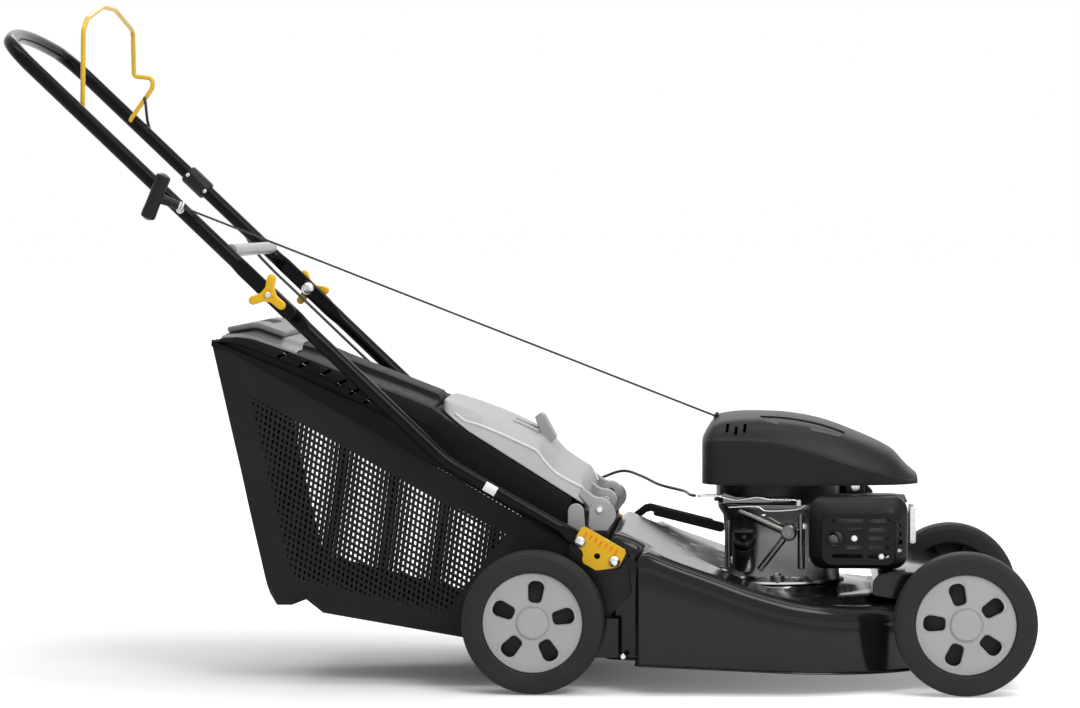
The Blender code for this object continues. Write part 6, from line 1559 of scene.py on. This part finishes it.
COWL_BOLT = [(0.0, 0.0), (0.006, 0.0), (0.006, 0.0012), (0.0044, 0.0014), (0.0044, 0.005), (0.0, 0.0054)]
lathe("cowl_bolt", COWL_BOLT, (BLADE + 0.111, -0.0945, 0.28), OUTWARD, 24, ZINC, angle=30, body="chassis",
      slot="zinc_steel")
plank("cowl_stay", boxed((BLADE + 0.098, 0.272), (BLADE + 0.124, 0.288)), -0.07, -0.094, BRACKET_PAINT,
      angle=30, edge=(0.0012, 2, 40), body="chassis", slot="satin_black")
print("guard made of", len(guard.data.polygons), "faces")

# %% Governor's rods and spring
LINK_Y, LINK_Z = -0.093, 0.2605
coil = []
for k in range(12 * 14 + 1):
    angle = tau * k / 12
    side, lift = 0.0026 * cos(angle), 0.0026 * sin(angle)
    coil.append(Vector((BLADE - 0.01 + 0.0022 * k / 12 * 0.9, LINK_Y + side, LINK_Z + lift)))
settle(wire_piece("governor_spring", coil, 0.0007, 8), ZINC, "governor_links", 60)
ROUTES = {
    "governor_rod": [(-0.086, -0.093, 0.266), (-0.06, -0.093, 0.26), (-0.03, -0.093, 0.264),
                     (-0.01, -0.093, 0.2605)],
    "governor_arm": [(0.018, -0.093, 0.2605), (0.026, -0.092, 0.26), (0.034, -0.09, 0.252)],
    "throttle_rod": [(-0.07, -0.0945, 0.25), (-0.03, -0.0945, 0.251), (-0.016, -0.0945, 0.245),
                     (0.026, -0.0945, 0.247), (0.04, -0.0945, 0.253)],
}
for name, route in ROUTES.items():
    piece = wire_piece(name, spline([Vector((BLADE + x, y, z)) for x, y, z in route], 0.003), 0.0012, 12)
    settle(piece, ZINC, "governor_links", 50)
clip = rod("governor_clip", *[(BLADE + 0.03, -0.094, z) for z in (0.261, 0.252)], 0.0034, 20)
settle(clip, WHITE_TAG, "governor_links", 40, (0.0008, 2, 40))
BRACKET = [(-0.078, 0.256), (0.012, 0.2575), (0.012, 0.262), (-0.06, 0.264), (-0.078, 0.27)]
plank("governor_bracket", placed(BRACKET, BLADE), -0.088, -0.0895, CAST_ALLOY, "governor_links")
print("governor ready")

# %% [markdown]
# ## Refined copies
# The remaining solids already have the right form. Each gets a copy with merged flat faces and fine bevels,
# shown in its place, with its own finish.

# %% Refined copies of the solids
carried("catcher_handle", LID_GREY, 0.0028, 4)
for side, label in SIDES:
    carried(f"bracket_plate_{label}", YELLOW_PLASTIC, 0.0012, 3)
    carried(f"handle_bracket_{label}", BRACKET_PAINT, 0.0005)
BOLT_A, BOLT_B = Vector((REAR + 0.0645, 0.2105)), Vector((REAR + 0.1125, 0.1829))
middle, lean = (BOLT_A + BOLT_B) / 2, atan2(BOLT_B.y - BOLT_A.y, BOLT_B.x - BOLT_A.x)
DOME = [(0.0, 0.0), (0.0082, 0.0), (0.0084, 0.0008), (0.0076, 0.003), (0.005, 0.0056), (0.0, 0.0066)]
for side, label in SIDES:
    for k, spot in enumerate((BOLT_A, BOLT_B)):
        lathe(f"plate_bolt_{label}_{k}", DOME, (spot.x, side * 0.2001, spot.y), (0, side, 0), 40, ZINC,
              f"handle_bracket_{label}", 40)
    for k in range(7):
        u, tall = -0.026 + 0.0082 * k, 0.0068 if k % 3 else 0.0086
        outline = tilted(boxed((u - 0.0015, 0.0165 - tall), (u + 0.0015, 0.0165)), middle.x, middle.y, lean)
        plank(f"plate_tick_{label}_{k}", outline, side * 0.1996, side * 0.2006, ORANGE_PLASTIC,
              f"bracket_plate_{label}", 40, (0.0003, 2, 40))
carried("front_axle_cover", GLOSS_PLASTIC, 0.004, 3)
carried("height_lever", BRACKET_PAINT, 0.0006)
top_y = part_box("height_lever")[1].y
bar = Vector((0.103, -0.0255)).normalized()
nose = Vector((lever_at.x + 0.101, 0.188))
heel = nose - bar * 0.112
across = Vector((-bar.y, bar.x)) * 0.0077
SLEEVE = [(*(heel - across), 0.004), (*(nose - across), 0.007), (*(nose + across), 0.007),
          (*(heel + across), 0.006)]
plank("lever_sleeve", rounded(SLEEVE, 6), top_y - 0.0062, top_y - 0.0002, SATIN_PLASTIC, "height_lever", 40,
      (0.002, 3, 40))
REFINED = [
    (ZINC, {"height_rack": 0.0004, "link_rod": 0.0004, "front_axle": 0.0006, "rear_axle": 0.0006,
            "hinge_rod": 0.0004}),
    (CAST_ALLOY, {"cylinder_head": 0.0006, "valve_cover": 0.0008, "carburettor": 0.0006}),
    (SATIN_PLASTIC, {"spark_plug": 0.0004, "air_filter_box": 0.0015}),
    (DARK_STEEL, {"muffler": 0.0015}),
    (SATIN_PLASTIC, {"blower_housing": 0.0006, "fuel_tank": 0.0012, "fuel_cap": 0.0008}),
    (ZINC, {"brake_lever": 0.0003}),
    (CAST_ALLOY, {"flywheel": 0.0006}),
    (DARK_STEEL, {"crankshaft": 0.0004}),
    (SATIN_PLASTIC, {"starter_pulley": 0.0004}),
    (BLADE_STEEL, {"blade": 0.0004}),
    (DARK_STEEL, {"blade_adapter": 0.0005, "blade_bolt": 0.0005}),
]
for material, edges in REFINED:
    for node, edge in edges.items():
        carried(node, material, edge)
print("solids refined")
